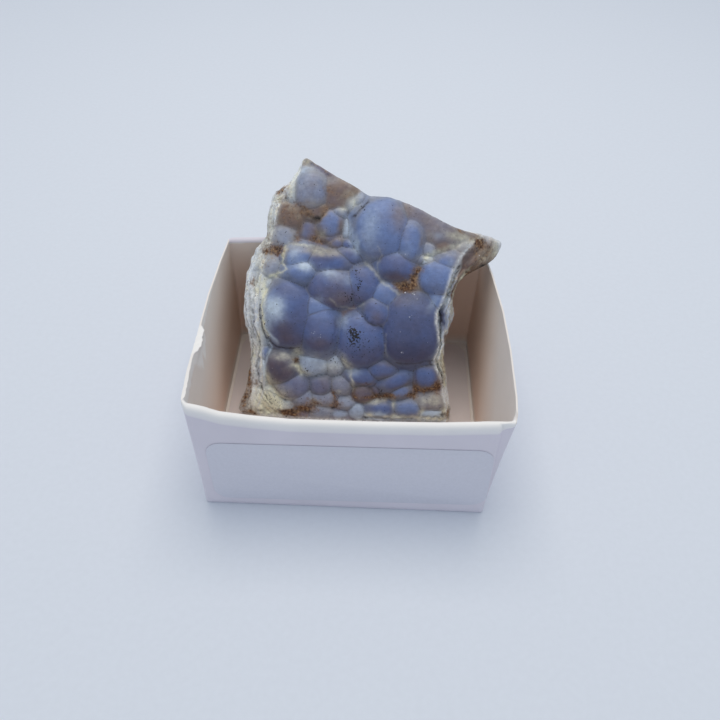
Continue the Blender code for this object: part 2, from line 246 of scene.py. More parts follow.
B = Bump
BUMPS: tuple[Bump, ...] = (
    # large domes across the middle, which melt into one another
    B(-11.5, 18.4, 5.3, 6.4, 4.7, Tone.SLATE, 0.35),
    B(-6.7, 18.9, 4.0, 3.8, 3.9, Tone.BLUE, 0.2),
    B(-5.8, 15.7, 3.5, 4.5, 4.75, Tone.SLATE, 0.2),
    B(-3.7, 23.3, 4.6, 4.0, 4.4, Tone.PLUM, 0.5),
    B(1.8, 24.2, 3.4, 3.8, 3.9, Tone.SLATE, 0.3),
    B(5.8, 22.6, 2.9, 2.4, 3.7, Tone.BLUE, 0.25),
    B(4.3, 19.2, 2.6, 2.8, 4.4, Tone.SLATE, 0.35),
    B(2.0, 14.3, 4.9, 5.3, 4.5, Tone.SLATE, 0.15, square=2.2),
    B(10.9, 16.6, 5.5, 6.9, 5.2, Tone.DEEP, 0.1, square=2.4),
    B(15.4, 21.9, 2.4, 2.6, 3.0, Tone.BLUE, 0.1),
    # crest above them
    B(-9.9, 28.7, 3.0, 2.4, 3.1, Tone.BLUE, 0.5),
    B(-4.9, 28.1, 4.3, 2.0, 3.3, Tone.SLATE, 0.5),
    B(-1.2, 29.3, 2.6, 1.6, 2.6, Tone.SLATE, 0.3),
    B(-9.6, 26.0, 2.6, 1.9, 3.8, Tone.BLUE, 0.3),
    # upper left
    B(-8.4, 41.0, 2.9, 3.7, 2.5, Tone.LILAC, 0.8),
    B(-7.6, 37.4, 2.6, 1.9, 1.6, Tone.BROWN, 0.9, drop=0.45),
    B(-12.0, 36.8, 2.9, 2.6, 1.4, Tone.BROWN, 0.9, drop=0.35),
    B(-3.2, 40.2, 3.6, 3.2, 1.4, Tone.BROWN, 0.9, drop=0.3),
    B(-4.4, 35.3, 2.4, 2.6, 1.9, Tone.BLUE, 0.9, drop=0.55),
    B(-8.5, 33.7, 1.6, 1.9, 1.05, Tone.DIM, 1.0, drop=0.4),
    B(-12.8, 32.6, 1.9, 2.3, 1.3, Tone.GREY, 0.9, drop=0.4),
    # upper right
    B(4.8, 34.6, 4.9, 5.8, 4.9, Tone.BLUE, 0.45),
    B(9.6, 36.2, 4.7, 3.6, 2.7, Tone.DUSK, 0.7, square=2.2, drop=0.38),
    B(13.8, 34.5, 5.2, 3.0, 2.4, Tone.DUSK, 0.7, turn=-18.0, square=2.2, drop=0.35),
    B(10.0, 32.4, 2.3, 3.7, 4.1, Tone.BLUE, 0.65),
    B(16.1, 31.8, 2.0, 1.3, 2.2, Tone.BROWN, 0.4, drop=0.45),
    B(7.7, 27.8, 3.7, 2.9, 4.1, Tone.SLATE, 0.4),
    B(15.4, 25.9, 3.9, 3.4, 3.8, Tone.BLUE, 0.3, square=2.2),
    B(17.2, 28.9, 2.4, 1.6, 3.0, Tone.BLUE, 0.5, turn=20.0, drop=0.5),
    # left border
    B(-15.2, 26.7, 1.6, 1.7, 1.8, Tone.GREY, 0.4, drop=0.5),
    B(-15.7, 23.2, 1.2, 1.5, 1.8, Tone.CREAM, 0.5, drop=0.5),
    # small bumps of the lower third
    B(-12.8, 8.6, 2.8, 3.1, 3.2, Tone.VIOLET, 0.35),
    B(-11.0, 4.9, 3.4, 2.6, 2.2, Tone.DIM, 0.5),
    B(-6.9, 9.5, 2.8, 2.3, 2.5, Tone.MILK, 0.35),
    B(-2.9, 9.5, 2.0, 2.2, 2.2, Tone.GREY, 0.4),
    B(-5.4, 5.2, 2.1, 1.8, 2.1, Tone.DIM, 0.35),
    B(-1.6, 5.3, 1.9, 1.9, 2.0, Tone.LILAC, 0.6),
    B(-8.5, 2.6, 1.8, 1.6, 1.5, Tone.LILAC, 0.6, drop=0.5),
    B(-4.9, 2.8, 2.1, 1.2, 1.6, Tone.LILAC, 0.6, drop=0.5),
    B(-0.8, 2.1, 1.6, 1.0, 1.4, Tone.GREY, 0.7),
    B(-5.2, 0.1, 2.1, 1.3, 1.1, Tone.GREY, 0.9, drop=0.5),
    B(2.1, 7.2, 3.0, 1.8, 2.4, Tone.SLATE, 0.4, square=2.2),
    B(5.8, 8.7, 2.9, 1.7, 2.6, Tone.SLATE, 0.35, square=2.2),
    B(8.8, 6.7, 3.2, 1.7, 2.5, Tone.SLATE, 0.35, turn=28.0, square=2.2),
    B(14.2, 7.7, 2.2, 2.3, 2.6, Tone.SLATE, 0.75, square=2.3),
    B(2.6, 3.9, 1.9, 1.7, 1.8, Tone.VIOLET, 0.9),
    B(9.7, 4.5, 1.8, 1.1, 1.9, Tone.BLUE, 0.6, turn=15.0),
    B(5.3, 4.7, 1.1, 0.9, 1.3, Tone.VIOLET, 1.0),
    B(15.5, 2.6, 2.6, 1.5, 1.7, Tone.DUSK, 0.7, drop=0.45),
    B(11.1, 1.5, 2.4, 1.6, 1.8, Tone.BLUE, 0.5, square=2.3),
    B(6.0, 1.0, 2.8, 1.6, 1.8, Tone.SLATE, 0.4, square=2.2),
    B(1.6, 0.5, 1.6, 1.5, 1.3, Tone.MILK, 0.3),
    B(15.8, 0.6, 2.1, 1.0, 1.3, Tone.MILK, 0.5, drop=0.5),
    # small ones that only the fine mesh can carry
    B(-3.1, 31.7, 1.2, 1.0, 1.8, Tone.DIM, 0.8, drop=0.5),
    B(-0.9, 31.4, 1.2, 1.1, 2.0, Tone.SLATE, 0.3),
    B(-4.1, 32.9, 1.4, 0.9, 1.3, Tone.DIM, 0.9, drop=0.4),
    B(-1.2, 34.2, 0.9, 1.6, 1.4, Tone.CREAM, 0.5, drop=0.5),
    B(-2.9, 37.2, 1.3, 1.0, 1.6, Tone.GREY, 0.6, drop=0.5),
    B(-0.6, 38.9, 1.4, 1.4, 1.3, Tone.CREAM, 0.5, drop=0.4),
    B(1.1, 39.4, 1.3, 1.1, 1.9, Tone.GREY, 0.5, turn=30.0),
    B(-11.8, 40.4, 0.9, 1.7, 1.3, Tone.CREAM, 0.5, drop=0.5),
    B(-14.2, 39.5, 1.3, 1.2, 0.9, Tone.CREAM, 0.7, drop=0.4),
    B(12.1, 29.3, 1.0, 0.9, 2.6, Tone.LILAC, 0.5),
    B(13.5, 28.9, 1.2, 0.9, 2.6, Tone.CREAM, 0.6),
    B(13.3, 31.2, 1.7, 1.2, 2.5, Tone.GREY, 0.7, drop=0.5),
    B(19.4, 31.2, 1.6, 1.0, 1.8, Tone.GREY, 0.7, turn=40.0, drop=0.5),
    B(9.8, 24.2, 2.3, 1.5, 2.75, Tone.BROWN, 1.0, drop=0.15),
    B(-16.2, 11.0, 0.8, 1.5, 1.6, Tone.BLUE, 0.2, turn=-8.0),
    B(-16.3, 8.0, 0.7, 2.0, 1.5, Tone.MILK, 0.2),
    B(-16.4, 18.8, 0.8, 3.6, 2.2, Tone.CREAM, 0.5, drop=0.5),
    B(-15.6, 13.6, 0.7, 1.4, 1.5, Tone.MILK, 0.3, turn=25.0),
    B(-14.9, 2.5, 1.9, 2.0, 1.3, Tone.CREAM, 0.5, turn=30.0, drop=0.4),
    B(-12.6, 0.9, 2.0, 1.2, 0.9, Tone.CREAM, 0.7, drop=0.4),
    B(-16.8, 1.6, 1.2, 2.2, 0.9, Tone.CREAM, 0.6, drop=0.4),
    B(-1.9, -0.3, 1.7, 0.7, 0.7, Tone.MILK, 0.4, drop=0.5),
    B(3.8, 0.0, 1.3, 0.8, 0.9, Tone.CREAM, 0.4, drop=0.5),
    B(9.0, -0.2, 2.4, 0.6, 0.8, Tone.CREAM, 0.4, drop=0.5),
    B(18.2, 1.4, 0.9, 1.5, 0.9, Tone.CREAM, 0.7, drop=0.5),
    B(14.6, 11.0, 1.5, 0.9, 2.2, Tone.SLATE, 0.4),
)

P = Patch
PATCHES: tuple[Patch, ...] = (
    # paler caps on the upward slopes of the domes: partly the stone's milky colour, partly painted
    # highlights where the overhead light catches them
    P(-13.9, 20.0, 1.5, 1.5, Stain.PALE, 1.2),
    P(-15.2, 18.2, 0.9, 3.4, Stain.PALE, 0.7),
    P(-13.4, 18.2, 1.2, 1.3, Stain.PALE, 0.5),
    P(-10.9, 29.6, 1.1, 1.7, Stain.PALE, 0.5, turn=-25.0),
    P(-9.9, 46.0, 1.5, 1.6, Stain.PALE, 0.9),
    P(-9.2, 46.4, 1.2, 0.8, Stain.CREAM, 0.4, turn=-30.0),
    P(-8.8, 27.3, 1.3, 0.75, Stain.PALE, 1.4),
    P(-4.6, 26.4, 1.6, 0.65, Stain.PALE, 0.6),
    P(-3.0, 25.6, 1.9, 0.9, Stain.PALE, 0.25),
    P(-0.9, 24.9, 1.0, 0.9, Stain.PALE, 0.3),
    P(2.9, 36.0, 1.6, 2.2, Stain.PALE, 0.28),
    P(2.6, 33.0, 1.6, 3.0, Stain.PALE, 0.30),
    P(8.4, 36.4, 1.6, 3.4, Stain.WARM, 0.40),
    P(-1.4, 17.6, 0.8, 1.7, Stain.PALE, 0.45),
    P(0.2, 18.6, 1.5, 0.9, Stain.PALE, 0.12),
    P(-0.8, 33.4, 0.6, 2.6, Stain.PALE, 0.6, turn=10.0),
    P(0.4, 31.4, 0.5, 1.4, Stain.PALE, 0.9),
    P(-5.2, 43.4, 1.4, 1.2, Stain.PALE, 0.15),
    P(-9.6, 42.4, 1.0, 2.6, Stain.PALE, 0.1),
    P(5.6, 0.2, 1.8, 0.5, Stain.PALE, 0.9),
    P(15.9, 0.7, 1.5, 0.5, Stain.PALE, 0.8),
    P(14.6, 21.3, 0.7, 1.6, Stain.PALE, 0.35, turn=-30.0),
    P(9.6, 31.4, 0.9, 1.7, Stain.PALE, 0.08),
    P(-7.0, 10.8, 1.5, 0.9, Stain.PALE, 0.3),
    P(-6.1, 21.4, 0.9, 0.7, Stain.PALE, 0.28),
    P(0.8, 8.1, 1.1, 0.7, Stain.PALE, 0.5),
    P(-16.9, 8.6, 0.6, 2.2, Stain.PALE, 0.7),
    P(-4.7, 17.6, 1.4, 1.1, Stain.PALE, 0.05),
    P(8.4, 30.2, 1.6, 0.5, Stain.PALE, 0.2),
    P(15.0, 33.7, 1.6, 0.7, Stain.PALE, 0.25),
    P(17.7, 28.8, 0.7, 1.2, Stain.PALE, 0.25),
    # darker patches, most on the lower sides of the domes: partly the stone's own darker violet and
    # brown, partly painted shade where the domes turn away from the light
    P(-12.0, 15.6, 2.6, 2.0, Stain.DEEP, 0.42),
    P(-12.0, 15.0, 2.4, 1.8, Stain.WARM, 0.42),
    P(-6.2, 13.4, 2.6, 1.1, Stain.WARM, 0.35),
    P(-3.0, 22.4, 3.0, 1.6, Stain.DEEP, 0.30),
    P(-1.6, 21.4, 2.8, 1.6, Stain.WARM, 0.35),
    P(-9.4, 18.6, 2.8, 4.4, Stain.DEEP, 0.25),
    P(-11.4, 22.6, 3.4, 1.4, Stain.DEEP, 0.22),
    P(-6.0, 13.0, 2.6, 1.4, Stain.DEEP, 0.35),
    P(11.4, 17.4, 3.6, 3.6, Stain.DEEP, 0.20),
    P(-13.2, 8.5, 1.9, 1.8, Stain.DEEP, 0.45),
    P(-13.2, 8.3, 1.7, 1.6, Stain.WARM, 0.35),
    P(7.4, 26.4, 2.6, 0.9, Stain.DEEP, 0.5),
    P(7.6, 26.0, 2.4, 0.8, Stain.WARM, 0.5),
    P(11.0, 12.6, 3.8, 1.9, Stain.DEEP, 0.25),
    P(15.0, 24.6, 2.0, 0.9, Stain.DEEP, 0.3),
    P(-5.2, 29.0, 2.2, 0.9, Stain.DEEP, 0.4),
    P(3.4, 12.4, 3.6, 1.6, Stain.DEEP, 0.3),
    P(-11.3, 25.4, 1.6, 0.6, Stain.DEEP, 0.3),
    # brown tinges
    P(7.4, 37.8, 1.4, 2.2, Stain.WARM, 0.3),
    P(14.0, 33.4, 1.0, 1.4, Stain.WARM, 0.3),
    P(-11.0, 33.3, 0.8, 2.4, Stain.WARM, 0.9),
    P(-6.6, 33.5, 1.2, 1.8, Stain.WARM, 0.7),
    P(-8.6, 38.2, 2.2, 1.0, Stain.WARM, 0.8),
    P(-1.6, 33.0, 1.0, 1.6, Stain.WARM, 0.3),
    P(6.6, 3.4, 3.0, 0.6, Stain.WARM, 0.7),
    P(23.6, 30.5, 5.0, 5.0, Stain.WARM, 1.3),
    P(9.4, 10.0, 4.4, 0.8, Stain.WARM, 0.4),
    P(-2.6, 35.2, 0.6, 1.3, Stain.WARM, 0.9),
    P(8.4, 22.0, 0.8, 1.4, Stain.WARM, 0.2),
    P(4.6, 18.6, 1.2, 1.2, Stain.WARM, 0.25),
    # cream crust
    P(-6.0, 30.1, 3.0, 0.7, Stain.CREAM, 0.4, turn=-3.0),
    P(-6.0, 30.2, 3.4, 0.8, Stain.WARM, 0.8, turn=-3.0),
    P(-9.6, 31.2, 2.2, 0.3, Stain.CREAM, 0.5, turn=-4.0),
    P(15.2, 3.0, 2.4, 1.1, Stain.CREAM, 0.5),
    P(24.0, 30.2, 1.4, 2.2, Stain.CREAM, 0.25, turn=20.0),
    P(-2.8, 9.9, 1.8, 1.6, Stain.PALE, 0.3),
    P(-12.9, 29.4, 0.4, 1.4, Stain.CREAM, 0.7, turn=-20.0),
    P(-14.6, 25.4, 1.4, 0.6, Stain.CREAM, 0.6, turn=25.0),
    P(-16.4, 22.4, 0.7, 3.0, Stain.CREAM, 0.7),
    P(-16.4, 16.4, 0.5, 2.4, Stain.CREAM, 0.7),
    P(-9.6, 8.4, 0.5, 1.4, Stain.CREAM, 0.9, turn=25.0),
    P(-8.5, 7.6, 1.0, 0.5, Stain.CREAM, 0.8, turn=-25.0),
    P(-9.7, 11.4, 1.0, 0.8, Stain.CREAM, 0.6),
    P(-10.6, 9.0, 0.8, 0.8, Stain.CREAM, 0.5),
    P(-0.9, 10.0, 0.6, 1.6, Stain.CREAM, 0.6, turn=30.0),
    P(-3.4, 9.0, 2.4, 1.1, Stain.CREAM, 0.35),
    P(-15.0, 2.6, 3.0, 2.2, Stain.CREAM, 1.2),
    P(-15.6, 0.0, 3.4, 1.8, Stain.CREAM, 1.2),
    P(-17.6, 23.6, 1.2, 1.8, Stain.CREAM, 0.8),
    P(-17.2, 12.4, 0.6, 2.0, Stain.CREAM, 0.6),
    P(-18.6, 10.0, 0.6, 2.4, Stain.CREAM, 0.7),
    P(-12.4, 10.6, 1.8, 0.8, Stain.CREAM, 0.5),
    P(17.4, 10.0, 0.8, 2.4, Stain.CREAM, 0.8),
    P(-15.4, 6.2, 0.7, 1.6, Stain.CREAM, 0.7, turn=15.0),
    P(-12.0, 41.0, 0.8, 1.7, Stain.CREAM, 0.7),
    P(-14.4, 39.6, 1.2, 0.8, Stain.CREAM, 0.9),
    P(-0.4, 39.4, 1.2, 1.4, Stain.CREAM, 0.5),
    P(-11.2, 45.0, 0.6, 2.4, Stain.CREAM, 0.6, turn=-15.0),
    P(-2.4, 37.9, 1.0, 0.5, Stain.CREAM, 0.4),
    P(-6.0, 33.4, 0.7, 0.7, Stain.CREAM, 0.3),
    P(14.6, 30.5, 2.6, 0.5, Stain.CREAM, 0.6, turn=20.0),
    P(13.5, 29.5, 0.8, 0.6, Stain.CREAM, 0.6),
    P(18.6, 31.9, 1.6, 0.5, Stain.CREAM, 0.4, turn=12.0),
    P(19.0, 33.6, 2.4, 0.8, Stain.CREAM, 0.5, turn=-16.0),
    P(22.4, 33.2, 1.0, 0.4, Stain.CREAM, 0.9, turn=25.0),
    P(11.4, 26.0, 0.3, 1.4, Stain.CREAM, 0.4, turn=-12.0),
    P(5.3, 2.6, 2.2, 0.4, Stain.CREAM, 0.6, turn=15.0),
    P(8.4, 2.2, 0.4, 1.0, Stain.CREAM, 0.6),
    P(13.6, 0.9, 0.5, 0.8, Stain.CREAM, 0.7, turn=-30.0),
    P(4.0, -0.1, 0.9, 0.5, Stain.CREAM, 0.6),
    P(9.0, -0.3, 3.6, 0.4, Stain.CREAM, 0.8),
    P(16.0, -0.4, 2.6, 0.5, Stain.CREAM, 1.0),
    P(18.2, 1.4, 0.7, 1.2, Stain.CREAM, 0.7),
    P(-2.0, 4.2, 0.6, 0.5, Stain.CREAM, 0.4),
    P(-6.4, 2.0, 1.0, 0.8, Stain.CREAM, 0.4),
    P(0.4, 6.6, 0.4, 1.2, Stain.CREAM, 0.4, turn=20.0),
    # rusty hollows
    P(9.7, 24.2, 1.7, 0.9, Stain.RUST, 1.5),
    P(11.1, 25.9, 0.6, 1.6, Stain.RUST, 1.3, turn=-12.0),
    P(12.1, 27.4, 0.7, 0.6, Stain.RUST, 0.7),
    # tiny crystals in the rusty hollow, drawn as painted glints
    P(9.7, 23.2, 0.5, 0.12, Stain.GLINTS, 1.4),
    P(10.9, 23.0, 0.5, 0.12, Stain.GLINTS, 1.4),
    P(-14.2, 30.1, 1.4, 1.1, Stain.RUST, 1.0),
    P(-16.4, 30.0, 0.9, 0.6, Stain.RUST, 0.6),
    P(-14.2, 41.3, 1.0, 0.6, Stain.RUST, 0.6),
    P(-6.5, 31.9, 1.6, 0.4, Stain.RUST, 0.5),
    P(-7.8, 32.6, 0.9, 0.6, Stain.RUST, 0.5),
    P(-10.6, 32.4, 0.6, 1.0, Stain.RUST, 0.5),
    P(-9.0, 37.6, 1.6, 0.4, Stain.RUST, 0.5, turn=-35.0),
    P(-5.0, 41.5, 1.0, 0.9, Stain.RUST, 0.4),
    P(-1.2, 40.6, 0.5, 0.4, Stain.RUST, 0.4),
    P(-18.8, 23.9, 0.5, 0.9, Stain.RUST, 0.7),
    P(4.4, 3.3, 2.0, 0.35, Stain.RUST, 0.9),
    P(1.0, 3.2, 0.6, 0.6, Stain.RUST, 0.7),
    P(7.2, 3.7, 1.6, 0.4, Stain.RUST, 1.1),
    P(11.4, 3.9, 1.0, 0.4, Stain.RUST, 1.0),
    P(12.3, 5.0, 0.5, 1.2, Stain.RUST, 1.0),
    P(14.4, 5.2, 1.6, 0.6, Stain.RUST, 1.1, turn=10.0),
    P(16.5, 5.8, 0.7, 1.3, Stain.RUST, 1.2),
    P(-2.9, 3.6, 0.5, 1.1, Stain.RUST, 0.8, turn=20.0),
    P(-2.6, 1.6, 1.0, 0.7, Stain.RUST, 1.0),
    P(-6.8, 2.0, 1.6, 0.6, Stain.RUST, 0.7),
    P(-8.4, 0.6, 2.0, 0.7, Stain.RUST, 1.2),
    P(-11.9, -0.2, 1.6, 0.5, Stain.RUST, 1.2),
    P(-10.1, 9.9, 0.5, 0.5, Stain.RUST, 1.1),
    P(-19.6, 3.4, 0.9, 3.0, Stain.RUST, 0.7),
    P(-19.5, 6.2, 0.6, 2.6, Stain.RUST, 0.7),
    P(-20.6, 0.8, 0.8, 2.4, Stain.RUST, 0.8),
    P(-18.6, -0.9, 1.2, 0.6, Stain.RUST, 1.0),
    P(-10.8, -0.6, 1.4, 0.6, Stain.RUST, 1.2),
    P(19.0, 0.6, 0.7, 1.2, Stain.RUST, 0.7),
    P(18.2, 0.4, 0.9, 1.3, Stain.CREAM, 0.7),
    P(17.8, 14.6, 0.5, 1.2, Stain.RUST, 0.7),
    P(22.6, 26.6, 1.4, 0.5, Stain.RUST, 0.9, turn=20.0),
    P(-18.0, 5.0, 0.8, 0.6, Stain.RUST, 0.5),
    P(23.0, 32.8, 0.9, 0.9, Stain.RUST, 0.7),
    P(19.3, 34.7, 0.9, 0.35, Stain.RUST, 0.7, turn=-20.0),
    P(21.4, 26.9, 1.0, 0.6, Stain.RUST, 0.8),
    P(18.3, 0.6, 0.6, 0.9, Stain.RUST, 0.5),
    P(3.2, 5.9, 1.6, 0.3, Stain.RUST, 0.3),
    # dark pits and dirt, and some painted shade: the dark hollow on the right flank, the dulled top
    # of the big right dome and the shadow under the broken corner
    # painted shade: the dark hollow on the right flank
    P(16.9, 18.8, 0.55, 2.2, Stain.SKIN, 1.2),
    P(16.9, 18.8, 0.55, 2.2, Stain.DEEP, 1.3),
    P(16.6, 18.6, 0.4, 1.9, Stain.DARK, 0.8),
    P(21.0, 30.0, 0.9, 1.6, Stain.DARK, 0.25),
    P(-0.2, 36.7, 0.5, 0.4, Stain.DARK, 0.9),
    P(-1.4, 37.5, 0.4, 0.3, Stain.DARK, 0.6),
    P(-6.9, 36.0, 0.7, 0.4, Stain.DARK, 0.7, turn=-20.0),
    P(-12.8, 39.6, 0.3, 0.25, Stain.DARK, 0.7),
    P(-10.1, 9.8, 0.5, 0.3, Stain.DARK, 0.7),
    P(6.1, 4.0, 0.4, 0.3, Stain.DARK, 0.8),
    P(-2.9, 1.0, 0.35, 0.25, Stain.DARK, 0.9),
    P(-9.0, 0.0, 3.6, 0.35, Stain.DARK, 0.7),
    P(3.1, -0.7, 0.5, 0.3, Stain.DARK, 1.0),
    P(17.7, 0.4, 0.4, 0.35, Stain.DARK, 0.9),
    P(-16.9, -0.1, 0.7, 0.25, Stain.DARK, 0.9),
    P(13.3, 29.2, 0.3, 0.2, Stain.DARK, 0.6),
    P(-8.2, 25.3, 0.8, 0.4, Stain.DARK, 0.3),
    # painted shade: dulls the top of the big right dome
    P(11.0, 22.4, 2.8, 1.1, Stain.DARK, 0.4),
    P(4.0, 17.2, 1.0, 0.4, Stain.DARK, 0.35, turn=-25.0),
    P(9.5, 24.6, 1.0, 0.3, Stain.DARK, 0.5),
    P(-14.1, 30.0, 0.7, 0.5, Stain.DARK, 0.15),
    P(-19.4, 1.4, 0.5, 1.2, Stain.DARK, 0.4),
    P(15.6, 10.6, 1.0, 0.3, Stain.DARK, 0.5),
    # painted shadow under the broken corner
    P(24.4, 28.6, 1.4, 0.4, Stain.DARK, 1.4, turn=38.0),
    # black dendrites
    P(0.1, 15.9, 1.0, 0.9, Stain.SPECKS, 0.9),
    P(0.8, 14.9, 1.0, 1.0, Stain.SPECKS, 0.8),
    P(1.6, 13.8, 3.0, 2.2, Stain.SPECKS, 0.62),
    P(0.6, 26.6, 1.0, 1.0, Stain.SPECKS, 0.6),
    P(1.1, 24.4, 0.6, 1.5, Stain.SPECKS, 1.0),
    P(-0.4, 22.0, 1.9, 1.3, Stain.SPECKS, 0.6),
    P(2.6, 18.4, 0.9, 0.7, Stain.SPECKS, 0.6),
    P(-15.9, 15.6, 0.5, 2.6, Stain.SPECKS, 0.7, turn=15.0),
    P(-17.1, 20.0, 0.3, 3.4, Stain.SPECKS, 0.6),
    P(-8.3, 8.2, 1.0, 0.8, Stain.SPECKS, 0.4),
    P(1.4, 38.3, 0.7, 0.9, Stain.SPECKS, 0.6),
    P(4.4, 24.6, 1.6, 0.5, Stain.SPECKS, 0.3),
    P(-2.2, 10.4, 1.6, 1.4, Stain.SPECKS, 0.4),
    P(-13.5, 2.0, 2.0, 1.6, Stain.SPECKS, 0.45),
    P(6.0, 4.6, 0.8, 0.6, Stain.SPECKS, 0.6),
    # tiny sugar-white crystals, drawn as white points that are partly their own white and partly
    # painted glints
    P(-6.8, 15.4, 0.5, 0.4, Stain.GLINTS, 1.1),
    P(-5.5, 14.5, 0.3, 0.6, Stain.GLINTS, 0.8),
    P(9.9, 17.8, 0.5, 0.3, Stain.GLINTS, 1.0),
    P(10.7, 19.0, 0.4, 0.4, Stain.GLINTS, 0.9),
    P(9.4, 12.2, 0.4, 0.3, Stain.GLINTS, 0.9),
    P(11.2, 22.4, 1.6, 0.8, Stain.GLINTS, 0.25),
    P(-12.3, 22.1, 0.3, 0.2, Stain.GLINTS, 0.8),
    P(-11.0, 24.7, 0.4, 0.2, Stain.GLINTS, 0.6),
    P(6.0, 3.5, 0.25, 0.2, Stain.GLINTS, 1.4),
    # the broken corner shows the stone's own body
    P(24.4, 30.6, 3.6, 3.2, Stain.SKIN, 1.3),
    P(26.6, 31.6, 1.0, 1.9, Stain.CREAM, 0.7),
    P(24.6, 30.2, 1.0, 1.6, Stain.CREAM, 0.2, turn=-20.0),
    P(20.4, 26.6, 1.2, 3.6, Stain.SKIN, 0.8, turn=-24.0),
    P(20.6, 26.8, 1.2, 3.6, Stain.WARM, 0.9, turn=-24.0),
    P(21.4, 30.0, 1.3, 2.4, Stain.DEEP, 0.5, turn=-25.0),
    P(21.4, 30.0, 1.5, 2.6, Stain.SKIN, 1.2, turn=-25.0),
    P(21.4, 29.6, 1.5, 2.6, Stain.WARM, 0.9, turn=-25.0),
    P(-16.6, 32.0, 1.4, 5.0, Stain.RUST, 0.4),
    P(-17.0, 32.0, 1.6, 6.0, Stain.DARK, 0.14),
    P(-16.4, 34.0, 1.6, 5.0, Stain.CREAM, 0.6),
    P(-18.0, 27.6, 1.0, 2.0, Stain.CREAM, 0.5),
    P(-14.0, 41.0, 1.8, 2.4, Stain.RUST, 0.45),
    P(24.0, 30.8, 3.0, 3.0, Stain.WARM, 0.6),
    P(23.4, 32.6, 1.3, 0.8, Stain.RUST, 0.9),
    P(23.4, 29.8, 2.4, 2.6, Stain.RUST, 0.4),
    P(25.6, 30.6, 1.2, 2.2, Stain.RUST, 0.2),
    P(22.4, 27.4, 1.6, 0.8, Stain.RUST, 0.6, turn=30.0),
    P(17.8, 8.2, 0.9, 3.4, Stain.RUST, 0.38),
    P(18.6, 23.6, 0.7, 3.0, Stain.RUST, 0.25),
    P(-12.4, 37.2, 2.4, 2.2, Stain.RUST, 0.22),
    P(-18.3, 26.2, 0.7, 1.8, Stain.SKIN, 0.7),
    P(-18.3, 26.2, 0.9, 2.2, Stain.PALE, 0.5),
    P(-18.2, 16.6, 0.5, 2.6, Stain.SKIN, 0.45, turn=6.0),
    P(-17.4, 8.0, 0.5, 3.0, Stain.SKIN, 0.5),
    P(-17.4, 8.0, 0.7, 3.4, Stain.PALE, 0.5),
    P(18.0, 18.0, 0.7, 1.6, Stain.SKIN, 0.8, turn=-10.0),
    P(18.0, 18.0, 0.8, 1.8, Stain.PALE, 0.35),
)

